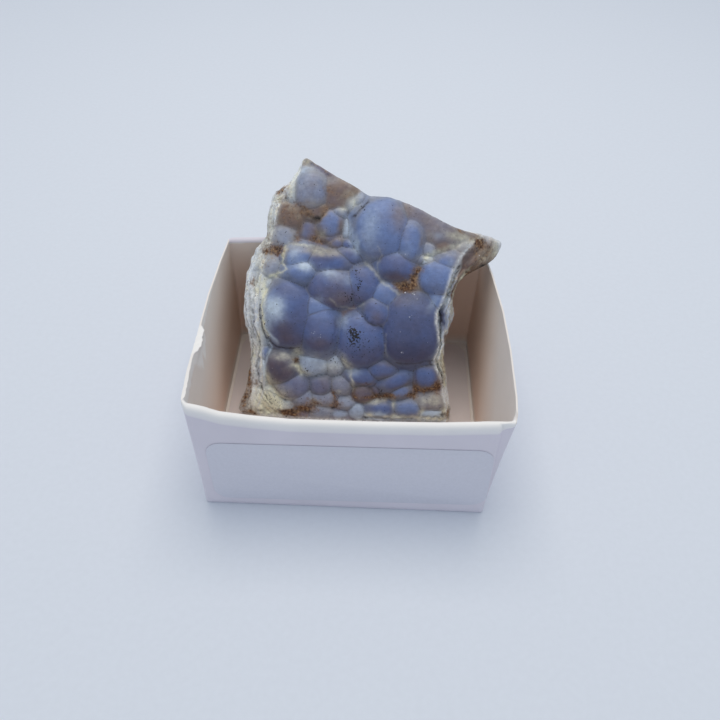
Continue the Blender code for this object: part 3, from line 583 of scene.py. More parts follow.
V = Vein
VEINS: tuple[Vein, ...] = (
    # dark cracks and dirt lines, and some painted shade: the line under the big right dome, the
    # shadow line above a small lower bump and the gap behind the right rim
    V(Stain.DARK, 0.20, 0.9, ((-0.1, 36.7), (0.5, 37.4), (1.2, 38.4), (2.2, 39.1))),
    V(Stain.DARK, 0.15, 0.9, ((-17.1, 20.1), (-17.1, 18.0), (-16.5, 15.3), (-15.7, 13.9),
                              (-13.8, 12.3), (-12.1, 12.0), (-9.8, 12.2))),
    V(Stain.DARK, 0.12, 0.8, ((-19.6, 24.2), (-20.3, 20.6), (-20.0, 16.8), (-19.2, 14.5),
                              (-18.7, 12.1), (-19.1, 9.2))),
    V(Stain.DARK, 0.14, 0.9, ((-18.4, 16.9), (-17.5, 14.1), (-17.1, 12.2), (-17.5, 10.1),
                              (-18.0, 8.2), (-17.2, 5.5), (-16.2, 3.4), (-14.5, 1.3))),
    V(Stain.DARK, 0.12, 0.7, ((-18.9, 19.0), (-19.1, 16.4), (-18.3, 14.1))),
    V(Stain.DARK, 0.12, 0.6, ((-17.4, 3.6), (-15.7, 1.5), (-13.8, -0.4))),
    V(Stain.DARK, 0.12, 0.6, ((-15.5, 3.9), (-13.6, 3.0), (-11.9, 2.1))),
    V(Stain.DARK, 0.15, 0.5, ((-14.6, 4.6), (-13.6, 4.2), (-12.6, 3.1), (-11.4, 2.7))),
    V(Stain.DARK, 0.13, 0.35, ((-15.9, 4.2), (-15.0, 2.6), (-14.1, 1.6), (-13.1, 0.4))),
    V(Stain.DARK, 0.13, 0.35, ((-17.4, 1.9), (-16.2, 0.8), (-15.2, -0.1))),
    V(Stain.DARK, 0.14, 0.4, ((-9.7, 9.4), (-9.3, 8.2), (-8.6, 7.3), (-7.8, 6.9))),
    V(Stain.DARK, 0.14, 0.35, ((-3.0, 18.0), (-3.1, 15.6), (-3.6, 13.2))),
    V(Stain.DARK, 0.14, 0.3, ((-1.8, 11.3), (-1.4, 10.2), (0.2, 9.2), (2.4, 8.9), (4.2, 9.3))),
    # painted shade under the lower edge of the big right dome
    V(Stain.DARK, 0.18, 0.6, ((8.6, 10.1), (10.6, 10.0), (13.0, 10.5), (15.2, 10.8))),
    V(Stain.DARK, 0.15, 0.6, ((3.4, -0.7), (4.6, -0.6), (5.4, -0.3), (6.6, -0.6), (7.7, -0.9),
                              (9.2, -0.7), (10.4, -0.6), (12.0, -0.5))),
    V(Stain.DARK, 0.15, 0.5, ((13.8, -0.4), (15.0, 0.1), (16.2, 0.1), (17.2, -0.2))),
    V(Stain.DARK, 0.15, 0.4, ((1.8, 19.4), (2.4, 18.3), (3.2, 17.3), (4.2, 17.0))),
    V(Stain.DARK, 0.12, 0.35, ((5.0, 17.4), (5.8, 16.4), (6.2, 15.2), (6.6, 14.4))),
    V(Stain.DARK, 0.14, 0.3, ((12.2, 9.8), (12.2, 8.0), (12.5, 6.2))),
    # painted shadow line above a small lower bump
    V(Stain.DARK, 0.12, 0.35, ((-7.4, 6.7), (-6.0, 7.2), (-4.2, 7.5))),
    # painted shade in the gap behind the right rim
    V(Stain.DARK, 0.20, 0.7, ((19.3, 28.4), (18.7, 26.5), (18.1, 24.4), (17.8, 22.3),
                              (17.5, 21.0))),
    V(Stain.CREAM, 0.28, 1.0, ((21.6, 28.0), (20.0, 26.5), (19.2, 24.2), (18.7, 21.8),
                               (18.9, 20.0), (18.4, 18.2), (17.9, 16.3))),
    V(Stain.SKIN, 0.45, 0.8, ((21.6, 29.4), (20.0, 27.0), (19.0, 24.6), (18.4, 22.4))),
    V(Stain.WARM, 0.50, 0.8, ((21.6, 29.4), (20.0, 27.0), (19.0, 24.6), (18.4, 22.4))),
    V(Stain.CREAM, 0.30, 0.9, ((17.0, 12.3), (17.7, 10.2), (18.0, 7.8), (18.1, 5.6))),
    V(Stain.DARK, 0.18, 0.9, ((16.5, 9.9), (17.0, 8.4), (17.7, 6.2))),
    V(Stain.PALE, 0.32, 1.3, ((1.6, -1.2), (4.0, -0.9), (6.4, -1.1), (9.0, -1.2), (11.4, -1.0),
                              (14.0, -0.8), (17.0, -1.0))),
    V(Stain.DARK, 0.18, 0.5, ((16.4, 16.6), (16.5, 15.0), (16.6, 13.2))),
    # pale cream ridges
    V(Stain.CREAM, 0.2, 0.6, ((-12.7, 31.0), (-13.2, 29.4), (-13.0, 27.6), (-12.2, 26.6),
                               (-14.2, 25.6), (-15.6, 25.2))),
    V(Stain.CREAM, 0.2, 0.8, ((-15.9, 22.9), (-16.6, 21.2), (-16.7, 18.6), (-16.2, 16.2),
                              (-15.3, 14.2))),
    V(Stain.PALE, 0.40, 0.8, ((-16.4, 22.2), (-16.3, 19.9), (-16.2, 17.1), (-15.4, 14.8),
                              (-13.5, 13.2))),
    V(Stain.PALE, 0.2, 0.8, ((-15.4, 13.6), (-14.9, 12.2), (-15.5, 10.6), (-16.0, 8.6),
                             (-15.8, 6.8))),
    V(Stain.CREAM, 0.30, 0.35, ((2.2, 28.2), (3.4, 27.3), (4.7, 25.7), (5.9, 24.6), (7.1, 23.8),
                                (8.2, 23.1))),
    V(Stain.CREAM, 0.16, 0.2, ((4.3, 31.2), (5.2, 29.8), (4.2, 27.8), (4.6, 26.6))),
    V(Stain.CREAM, 0.18, 0.22, ((-4.0, 21.6), (-2.6, 20.2), (0.4, 20.0), (2.2, 20.8))),
    V(Stain.WARM, 0.60, 1.0, ((-10.3, 38.0), (-8.8, 36.7), (-6.8, 36.0), (-5.7, 37.1))),
    V(Stain.RUST, 0.45, 0.35, ((-10.3, 38.0), (-9.6, 37.2), (-8.8, 36.7), (-7.7, 36.2),
                              (-6.8, 36.0), (-6.2, 36.4), (-5.7, 37.1), (-5.5, 38.2))),
    V(Stain.DARK, 0.28, 0.55, ((-8.4, 36.4), (-7.4, 36.1), (-6.6, 36.1), (-6.1, 36.6))),
    V(Stain.CREAM, 0.16, 0.15, ((6.4, 15.6), (6.4, 13.4), (6.7, 11.2))),
    V(Stain.CREAM, 0.16, 0.25, ((0.4, 9.0), (0.0, 7.4), (0.7, 5.8), (0.6, 4.2))),
)


# Stations round the slab, anticlockwise from the bottom left corner:
# the edge of the front face, then the widest point of the flank behind it.
STATIONS: tuple[tuple[tuple[float, float], tuple[float, float]], ...] = (
    ((-17.2, -0.8), (-21.2, -1.2)),
    ((-12.2, -1.3), (-13.6, -2.1)),
    ((-6.0, -1.5), (-6.6, -2.2)),
    ((0.0, -1.6), (0.0, -2.3)),
    ((6.0, -1.7), (6.4, -2.3)),
    ((12.0, -1.8), (12.8, -2.4)),
    ((17.4, -1.7), (18.4, -2.2)),
    ((18.6, 0.6), (19.6, 0.2)),
    ((17.8, 4.4), (18.9, 4.6)),
    ((17.1, 7.6), (18.3, 8.2)),
    ((15.7, 10.8), (17.9, 11.4)),
    ((16.5, 13.8), (17.8, 14.0)),
    ((15.9, 16.8), (18.6, 17.0)),
    ((15.6, 19.4), (19.3, 19.6)),
    ((16.7, 22.0), (19.1, 22.4)),
    ((17.4, 24.6), (19.8, 25.2)),
    ((18.1, 27.2), (22.2, 27.2)),
    ((19.6, 30.0), (26.0, 29.6)),
    ((21.4, 32.2), (27.6, 32.2)),
    ((23.0, 34.0), (26.2, 34.0)),
    ((18.4, 35.3), (18.9, 35.4)),
    ((14.9, 36.8), (15.0, 36.8)),
    ((11.8, 38.3), (11.8, 38.1)),
    ((8.4, 39.6), (8.3, 39.3)),
    ((5.5, 40.3), (5.3, 39.9)),
    ((2.6, 40.4), (2.4, 40.0)),
    ((0.5, 41.7), (0.3, 41.2)),
    ((-3.8, 43.9), (-4.1, 43.3)),
    ((-7.4, 45.9), (-7.8, 45.3)),
    ((-9.7, 46.9), (-10.4, 46.4)),
    ((-10.6, 44.0), (-11.9, 44.2)),
    ((-12.8, 40.8), (-14.9, 41.6)),
    ((-14.0, 38.2), (-16.2, 39.0)),
    ((-14.8, 35.2), (-16.8, 35.6)),
    ((-15.5, 32.0), (-17.2, 32.6)),
    ((-16.2, 29.0), (-19.2, 29.4)),
    ((-17.0, 25.6), (-20.3, 25.8)),
    ((-17.3, 22.0), (-20.9, 22.2)),
    ((-17.3, 18.0), (-20.9, 18.0)),
    ((-17.0, 14.0), (-20.1, 13.8)),
    ((-16.6, 10.4), (-19.4, 10.4)),
    ((-16.4, 6.8), (-19.9, 7.0)),
    ((-16.6, 3.2), (-20.6, 3.0)),
)

ATTRIBUTES = ("warm", "pale", "deep", "cream", "rust", "dark", "specks", "glints", "skin",
              "hollow", "crease", "edge", "earth", "flank", "layer", "lip")

# Swells of the ground under the bumps: u, v, spread along u, spread along v, height
SWELLS: tuple[tuple[float, float, float, float, float], ...] = (
    (-1.0, 20.0, 15.0, 7.5, 1.7),
    (9.0, 32.0, 8.0, 6.0, 1.2),
    (17.0, 22.0, 3.0, 12.0, 0.8),
)


@dataclass
class ChalcedonySlab:
    """The stone: crust of bumps in front, layered flanks and a broken back.

    u runs to the right along the face, v up the slope and n out of the face, all in
    millimetres from the foot of the slab.
    """

    lean: float = math.radians(51.0)
    foot: tuple[float, float, float] = (0.0, -5.3, 6.25)
    middle: tuple[float, float] = (0.0, 20.0)
    ground: float = 0.3
    shoulder: float = 0.88
    blend: float = 0.16
    fillet: tuple[float, float] = (0.06, 0.016)
    groove: float = 0.10
    ring_width: float = 0.9
    face_pitch: float = 0.20
    back_pitch: float = 0.55
    flank_rows: int = 52
    flank_depth: float = -4.2
    back_level: float = -8.3
    back_pull: float = 0.12
    warp: float = 0.32
    warp_size: float = 3.4
    ledge: tuple = ((0.0, 0.08, 0.18, 0.26, 0.36, 0.46, 0.56, 0.68, 0.84, 1.0),
                    (0.0, 0.02, 0.10, 0.20, 0.34, 0.46, 0.60, 0.74, 0.90, 1.0),
                    (0.0, 0.08, 0.22, 0.26, 0.14, 0.14, 0.36, 0.40, 0.78, 1.0))
    terraces: tuple = ((0.0, 0.10, 0.28, 0.36, 0.55, 0.64, 0.84, 0.90, 1.0),
                       (0.0, 0.02, 0.28, 0.30, 0.58, 0.60, 0.90, 0.94, 1.0),
                       (0.0, 0.13, 0.17, 0.34, 0.39, 0.58, 0.64, 0.80, 1.0))
    grooves: tuple = ((0.12, 0.030, 0.14), (0.33, 0.035, 0.20), (0.58, 0.035, 0.20),
                      (0.84, 0.035, 0.20))
    lips: tuple = ((0, 0.6), (1, 0.6), (3, 1.0), (6, 1.0), (7, 0.8), (10, 1.0), (13, 1.0), (15, 0.65), (18, 0.65), (20, 0.1),
                   (29, 0.1), (31, 0.4), (43, 0.5))
    values: dict[str, list[np.ndarray]] = field(default_factory=dict)

    def ring(self, corners: list[tuple[float, float]]) -> tuple[Ring, np.ndarray]:
        """Cut a smooth closed line into even steps.

        Args:
            corners: the points that the line passes.

        Returns:
            The points, and how far round the list of corners each one lies.
        """
        knots = np.array(corners)
        places = []
        for i, (start, end) in enumerate(zip(knots, np.roll(knots, -1, axis=0))):
            steps = max(1, round(float(np.linalg.norm(end - start)) / self.face_pitch))
            places.extend(i + k / steps for k in range(steps))
        at = np.array(places)
        return self.along(corners, at), at

    @staticmethod
    def along(corners: list[tuple[float, float]], places: np.ndarray) -> Ring:
        """Points of a smooth closed line at given places.

        Args:
            corners: the points that the line passes.
            places: how far round the list of corners each wanted point lies.

        Returns:
            One point for each place.
        """
        knots = np.array(corners)
        count = len(knots)
        i = places.astype(int)
        s = (places - i)[:, None]
        a, b = knots[(i - 1) % count], knots[i % count]
        c, d = knots[(i + 1) % count], knots[(i + 2) % count]
        return 0.5 * (2 * b + (c - a) * s + (2 * a - 5 * b + 4 * c - d) * s**2
                      + (3 * b - a - 3 * c + d) * s**3)

    def dome(self, away: np.ndarray) -> np.ndarray:
        """Fall from a round top: a circle out to the shoulder, then a straight slope.

        Args:
            away: distance from the top, 1 at the bump's edge.

        Returns:
            The fall, for a bump of size 1.
        """
        inner = np.minimum(away, self.shoulder)
        slope = self.shoulder / math.sqrt(1.0 - self.shoulder**2)
        return 1.0 - np.sqrt(1.0 - inner**2) + slope * (away - inner)

    def crust(self, points: Ring) -> tuple[np.ndarray, dict[str, np.ndarray]]:
        """Height and colour values of the botryoidal crust.

        Args:
            points: places on the face, one row of u and v each.

        Returns:
            The heights, and one array of values for each vertex attribute.
        """
        flat = np.column_stack([points, np.zeros(len(points))])
        u = points[:, 0] + self.warp * wave(flat, self.warp_size, (3.0, 8.0, 1.0))
        v = points[:, 1] + self.warp * wave(flat, self.warp_size, (9.0, 2.0, 6.0))
        ground = np.full_like(u, self.ground)
        for cu, cv, su, sv, height in SWELLS:
            ground += height * np.exp(-((u - cu) / su) ** 2 - ((v - cv) / sv) ** 2)
        ground += 0.16 * wave(flat, 0.7, (1.0, 5.0, 2.0)) + 0.2 * wave(flat, 1.9, (4.0, 1.0, 7.0))
        best = ground.copy()
        second = np.full_like(u, -9.0)
        surface = ground.copy()
        total = np.exp(ground / self.blend)
        tones = np.zeros((3, len(u)))
        rims = np.zeros(len(u))
        earth = np.zeros(len(u))
        firm = np.zeros(len(u))
        for bump in BUMPS:
            c, s = math.cos(math.radians(bump.turn)), math.sin(math.radians(bump.turn))
            du = np.abs((u - bump.u) * c + (v - bump.v) * s) / bump.half_u
            dv = np.abs((v - bump.v) * c - (u - bump.u) * s) / bump.half_v
            away = (du**bump.square + dv**bump.square) ** (1.0 / bump.square)
            size = bump.drop * min(bump.half_u, bump.half_v)
            height = bump.top - size * self.dome(away)
            small = min(bump.half_u, bump.half_v)
            fillet = self.fillet[0] * small + self.fillet[1] * small**2
            near = np.maximum(0.0, fillet - np.abs(surface - height))
            surface = np.maximum(surface, height) + near**2 / (4.0 * fillet)
            share = np.exp(height / self.blend)
            total += share
            # painted shade and highlight: the lower half of each bump is made darker and warmer, its
            # upper half a little paler, as light from above falls on it
            tall = np.clip((v - bump.v) / bump.half_v, -1.0, 1.0)
            low, high = np.maximum(0.0, -tall) ** 2, np.maximum(0.0, tall) ** 2
            tint = np.array(bump.tone.value)[:, None] + np.array(
                [0.22 * low, 0.10 * high, 0.38 * low])
            tones += tint * share
            # paler rims round each bump: partly their own olive-grey rim, partly painted glow of
            # light passing through and bouncing at the rims
            ring = np.clip(1.0 + (away - 1.0) * small / min(self.ring_width, 0.5 * small), 0.0, 1.0)
            rims += ring * ring * (3.0 - 2.0 * ring) * share
            earth += bump.rim * share
            firm += min(1.0, max(0.1, (bump.drop - 0.3) / 0.3)) * share
            second = np.maximum(second, np.minimum(best, height))
            best = np.maximum(best, height)
        tones /= total
        hollow = np.exp(ground / self.blend) / total
        # crease marks where two bumps meet: it sinks the surface a little and is painted dark as
        # shade in the material
        crease = np.exp(-((best - second) / 0.09) ** 2) * (1.0 - hollow) * firm / total
        edge = rims / total * (1.0 - hollow)
        values = {"warm": tones[0], "pale": tones[1], "deep": tones[2],
                  "hollow": hollow, "crease": crease, "edge": edge, "earth": earth / total}
        height = surface - self.groove * crease
        height += (1.0 - hollow) * 0.05 * wave(flat, 1.7, (6.0, 3.0, 3.0))
        height += (1.0 - hollow) * 0.018 * wave(flat, 0.55, (2.0, 9.0, 5.0))
        return height, values

    @staticmethod
    def patches(points: Ring) -> dict[str, np.ndarray]:
        """Strength of every stain at some places of the face.

        Args:
            points: places, one row of u and v each.

        Returns:
            One array for each kind of stain.
        """
        found = {stain.value: np.zeros(len(points)) for stain in Stain}
        flat = np.column_stack([points, np.zeros(len(points))])
        u = points[:, 0] + 0.30 * wave(flat, 0.9, (2.0, 4.0, 8.0))
        v = points[:, 1] + 0.30 * wave(flat, 0.9, (7.0, 5.0, 3.0))
        for patch in PATCHES:
            c, s = math.cos(math.radians(patch.turn)), math.sin(math.radians(patch.turn))
            du = ((u - patch.u) * c + (v - patch.v) * s) / patch.half_u
            dv = ((v - patch.v) * c - (u - patch.u) * s) / patch.half_v
            found[patch.stain.value] += patch.strength * np.exp(-(du**2) - dv**2)
        for vein in VEINS:
            near = np.full(len(points), np.inf)
            for (u0, v0), (u1, v1) in zip(vein.path, vein.path[1:]):
                along = (u - u0) * (u1 - u0) + (v - v0) * (v1 - v0)
                part = np.clip(along / ((u1 - u0) ** 2 + (v1 - v0) ** 2), 0.0, 1.0)
                near = np.minimum(near, np.hypot(u - u0 - part * (u1 - u0),
                                                 v - v0 - part * (v1 - v0)))
            found[vein.stain.value] += vein.strength * np.exp(-((near / vein.width) ** 2))
        return found

    def back_depth(self, points: Ring) -> np.ndarray:
        """Depth of the broken back, thinner where a corner overhangs the tray.

        Args:
            points: places on the back, one row of u and v each.

        Returns:
            The depths, below 0.
        """
        u, v = points[:, 0], points[:, 1]
        ear = np.exp(-((u - 27.0) / 6.0) ** 2 - ((v - 31.0) / 5.0) ** 2)
        left = np.exp(-((u + 20.0) / 7.0) ** 2)
        return self.back_level + 3.0 * ear + 0.8 * left

    @staticmethod
    def inside(points: Ring, ring: Ring) -> np.ndarray:
        """Say which points lie inside a closed ring.

        Args:
            points: the places to test.
            ring: the closed line.

        Returns:
            True for each point inside.
        """
        x, y = points[:, 0], points[:, 1]
        found = np.zeros(len(points), dtype=bool)
        for (x0, y0), (x1, y1) in zip(ring, np.roll(ring, -1, axis=0)):
            if y0 != y1:
                crosses = (y0 > y) != (y1 > y)
                found ^= crosses & (x < (x1 - x0) * (y - y0) / (y1 - y0) + x0)
        return found

    def fill(self, ring: Ring, pitch: float) -> tuple[Ring, np.ndarray, np.ndarray, list]:
        """Fill a closed ring with even triangles.

        Args:
            ring: the closed line.
            pitch: side of the triangles.

        Returns:
            The points added inside, their distance to the ring, the nearest ring point of
            each, and the faces.
        """
        low, high = ring.min(axis=0), ring.max(axis=0)
        rows = []
        for k, v in enumerate(np.arange(low[1], high[1], pitch * math.sqrt(0.75))):
            u = np.arange(low[0] + pitch / 2 * (k % 2), high[0], pitch)
            rows.append(np.column_stack([u, np.full_like(u, v)]))
        grid = np.vstack(rows)
        grid = grid[self.inside(grid, ring)]
        clear = np.full(len(grid), np.inf)
        nearest = np.zeros(len(grid), dtype=int)
        for i, corner in enumerate(ring):
            away = np.hypot(*(grid - corner).T)
            closer = away < clear
            clear[closer] = away[closer]
            nearest[closer] = i
        kept = clear > 0.62 * min(pitch, self.face_pitch)
        grid, clear, nearest = grid[kept], clear[kept], nearest[kept]
        count = len(ring)
        edges = [(i, (i + 1) % count) for i in range(count)]
        coords = [Vector(p) for p in np.vstack([ring, grid])]
        faces = delaunay_2d_cdt(coords, edges, [], 1, 1e-6)[2]
        return grid, clear, nearest, faces

    def keep(self, count: int, **values: np.ndarray | float) -> None:
        """Store attribute values for the next vertices, with 0 for those not given."""
        for name in ATTRIBUTES:
            value = values.get(name, 0.0)
            self.values.setdefault(name, []).append(np.broadcast_to(value, (count,)))

    def face(self, points: Ring, clear: np.ndarray | float,
             lip: np.ndarray | float) -> tuple[np.ndarray, dict[str, np.ndarray]]:
        """Height and attribute values of places on the front face.

        Args:
            points: places on the face, one row of u and v each.
            clear: distance from the face's edge.
            lip: how pale the broken edge is nearest to each place.

        Returns:
            The heights, and one array of values for each vertex attribute.
        """
        height, values = self.crust(points)
        for name, stain in self.patches(points).items():
            values[name] = values.get(name, 0.0) + stain
        flat = np.column_stack([points, height])
        crumbs = wave(flat, 0.42, (8.0, 1.0, 2.0)) + 0.6 * wave(flat, 1.0, (3.0, 5.0, 5.0))
        loose = np.clip(values["rust"] + 0.5 * values["hollow"] + 0.3 * values["cream"], 0.0, 1.0)
        height = height + 0.16 * loose * crumbs - 0.16 * np.clip(values["dark"], 0.0, 1.0)
        values["lip"] = 1.3 * lip * np.exp(-((clear / 0.40) ** 2))
        values["layer"] = height
        return height, values

    def gaps(self, part: float, places: np.ndarray) -> np.ndarray:
        """Depth of the thin gaps between the layers of the flank.

        Args:
            part: how far down the flank, from 0 at the face to 1 at its widest.
            places: how far round the slab each point lies.

        Returns:
            The depths.
        """
        depth = np.zeros(len(places))
        for k, (middle, width, deep) in enumerate(self.grooves):
            line = np.column_stack([places * 0.6, np.full_like(places, 4.0 * k), places * 0.0])
            sway = 0.07 * wave(line, 1.0, (3.0, 5.0, 2.0)) + 0.02 * wave(line, 0.25, (1.0, 1.0, 6.0))
            kept = np.clip(0.65 + 2.0 * wave(line, 0.8, (8.0, 1.0, 4.0)), 0.0, 1.0)
            depth += deep * kept * np.exp(-(((part - middle - sway) / width) ** 2))
        return depth

    def build(self, material: bpy.types.Material) -> bpy.types.Object:
        """Build the stone.

        Args:
            material: its finish.

        Returns:
            The finished piece.
        """
        front, places = self.ring([pair[0] for pair in STATIONS])
        flank = self.along([pair[1] for pair in STATIONS], places)
        lip = np.interp(places, *zip(*self.lips))
        right = np.exp(-((places - 13.0) / 4.6) ** 4)
        left = np.exp(-((places - 37.5) / 7.0) ** 8)
        sway = wave(np.column_stack([places * 0.7, places * 0.0, places * 0.0]), 1.0,
                    (3.0, 3.0, 1.0))
        profiles = ((right, *self.ledge), (left, *self.terraces))
        jag = np.column_stack([front, np.zeros(len(front))])
        out = front - np.array(self.middle)
        out /= np.linalg.norm(out, axis=1)[:, None]
        rough = 0.20 * wave(jag, 1.4, (2.0, 2.0, 8.0)) + 0.10 * wave(jag, 0.5, (7.0, 2.0, 1.0))
        front = front + out * (rough * (0.35 + 0.65 * lip))[:, None]
        back = flank + (np.array(self.middle) - flank) * self.back_pull
        front_height, front_values = self.face(front, 0.0, lip)
        back_height = self.back_depth(back)
        flank_height = np.maximum(self.flank_depth, back_height + 1.8)

        bm = bmesh.new()
        loops = []
        for row in range(self.flank_rows + 1):
            part = 2.0 * row / self.flank_rows
            if part <= 1.0:
                mix = np.full(len(places), part**0.8)
                fall = np.full(len(places), part)
                wander = np.clip(part + 0.10 * sway * math.sin(math.pi * part), 0.0, 1.0)
                for weight, steps, spread, sink in profiles:
                    mix += (np.interp(wander, steps, spread) - mix) * weight
                    fall += (np.interp(wander, steps, sink) - fall) * weight
                ring = front + (flank - front) * mix[:, None]
                height = front_height + (flank_height - front_height) * fall
            else:
                bend = math.cos((part - 1.0) * math.pi / 2)
                ring = back + (flank - back) * bend
                height = flank_height + (back_height - flank_height) * (part - 1.0)
            solid = np.column_stack([ring, height])
            layer = height + 0.6 * wave(solid, 3.4, (4.0, 4.0, 1.0))
            layer += 0.2 * wave(solid, 0.9, (9.0, 4.0, 1.0))
            if 0 < row < self.flank_rows:
                shift = 0.36 * wave(solid, 2.6, (5.0, 2.0, 9.0))
                shift += 0.26 * wave(solid, 1.2, (1.0, 6.0, 2.0))
                shift += 0.12 * wave(solid, 0.5, (6.0, 6.0, 2.0))
                shift += 0.16 * wave(np.column_stack([layer * 2.2, places * 0.15, layer * 0.0]),
                                     1.0, (0.0, 3.0, 0.0))
                gap = self.gaps(part, places)
                solid[:, :2] += out * (shift * min(1.0, row / 4.0) - gap)[:, None]
                solid[:, 2] -= gap
            loops.append([bm.verts.new(point) for point in solid])
            if row == 0:
                self.keep(len(front), **front_values)
            else:
                stains = self.patches(ring)
                # painted shade: a dark band in the gap behind the right rim and dark lines in the
                # grooves between the flank's layers
                shade = math.exp(-((part - 0.20) / 0.07) ** 2)
                stains["dark"] = stains["dark"] + 0.25 * right * shade
                if 0 < row < self.flank_rows:
                    stains["dark"] = stains["dark"] + 1.7 * gap
                self.keep(len(front), **stains, flank=1.0, layer=layer,
                          lip=1.3 * lip * math.exp(-row / 1.5))
        for lower, upper in zip(loops, loops[1:]):
            stitch(bm, upper, lower)

        grid, clear, nearest, faces = self.fill(front, self.face_pitch)
        height, values = self.face(grid, clear, lip[nearest])
        self.keep(len(grid), **values)
        verts = loops[0] + [bm.verts.new((u, v, n)) for (u, v), n in zip(grid, height)]
        for corners in faces:
            bm.faces.new([verts[i] for i in corners])

        grid, clear, _, faces = self.fill(back, self.back_pitch)
        depth = self.back_depth(grid)
        flat = np.column_stack([grid, depth])
        rise = 0.5 * wave(flat, 6.0, (1.0, 7.0, 3.0)) + 0.28 * wave(flat, 1.8, (3.0, 1.0, 3.0))
        depth = depth + rise * np.minimum(1.0, clear / 1.5)
        self.keep(len(grid), flank=1.0, layer=depth)
        verts = loops[-1] + [bm.verts.new((u, v, n)) for (u, v), n in zip(grid, depth)]
        for corners in faces:
            bm.faces.new([verts[i] for i in reversed(corners)])

        place = Matrix.Translation(Vector(self.foot) * MM) @ Matrix.Rotation(self.lean, 4, "X")
        bmesh.ops.transform(bm, matrix=place @ Matrix.Scale(MM, 4), verts=bm.verts)
        bmesh.ops.recalc_face_normals(bm, faces=bm.faces)
        piece = add_piece("chalcedony_stone", bm, material, "chalcedony")
        for name, parts in self.values.items():
            layer = piece.data.attributes.new(name, "FLOAT", "POINT")
            layer.data.foreach_set("value", np.concatenate(parts).astype(np.float32))
        return piece


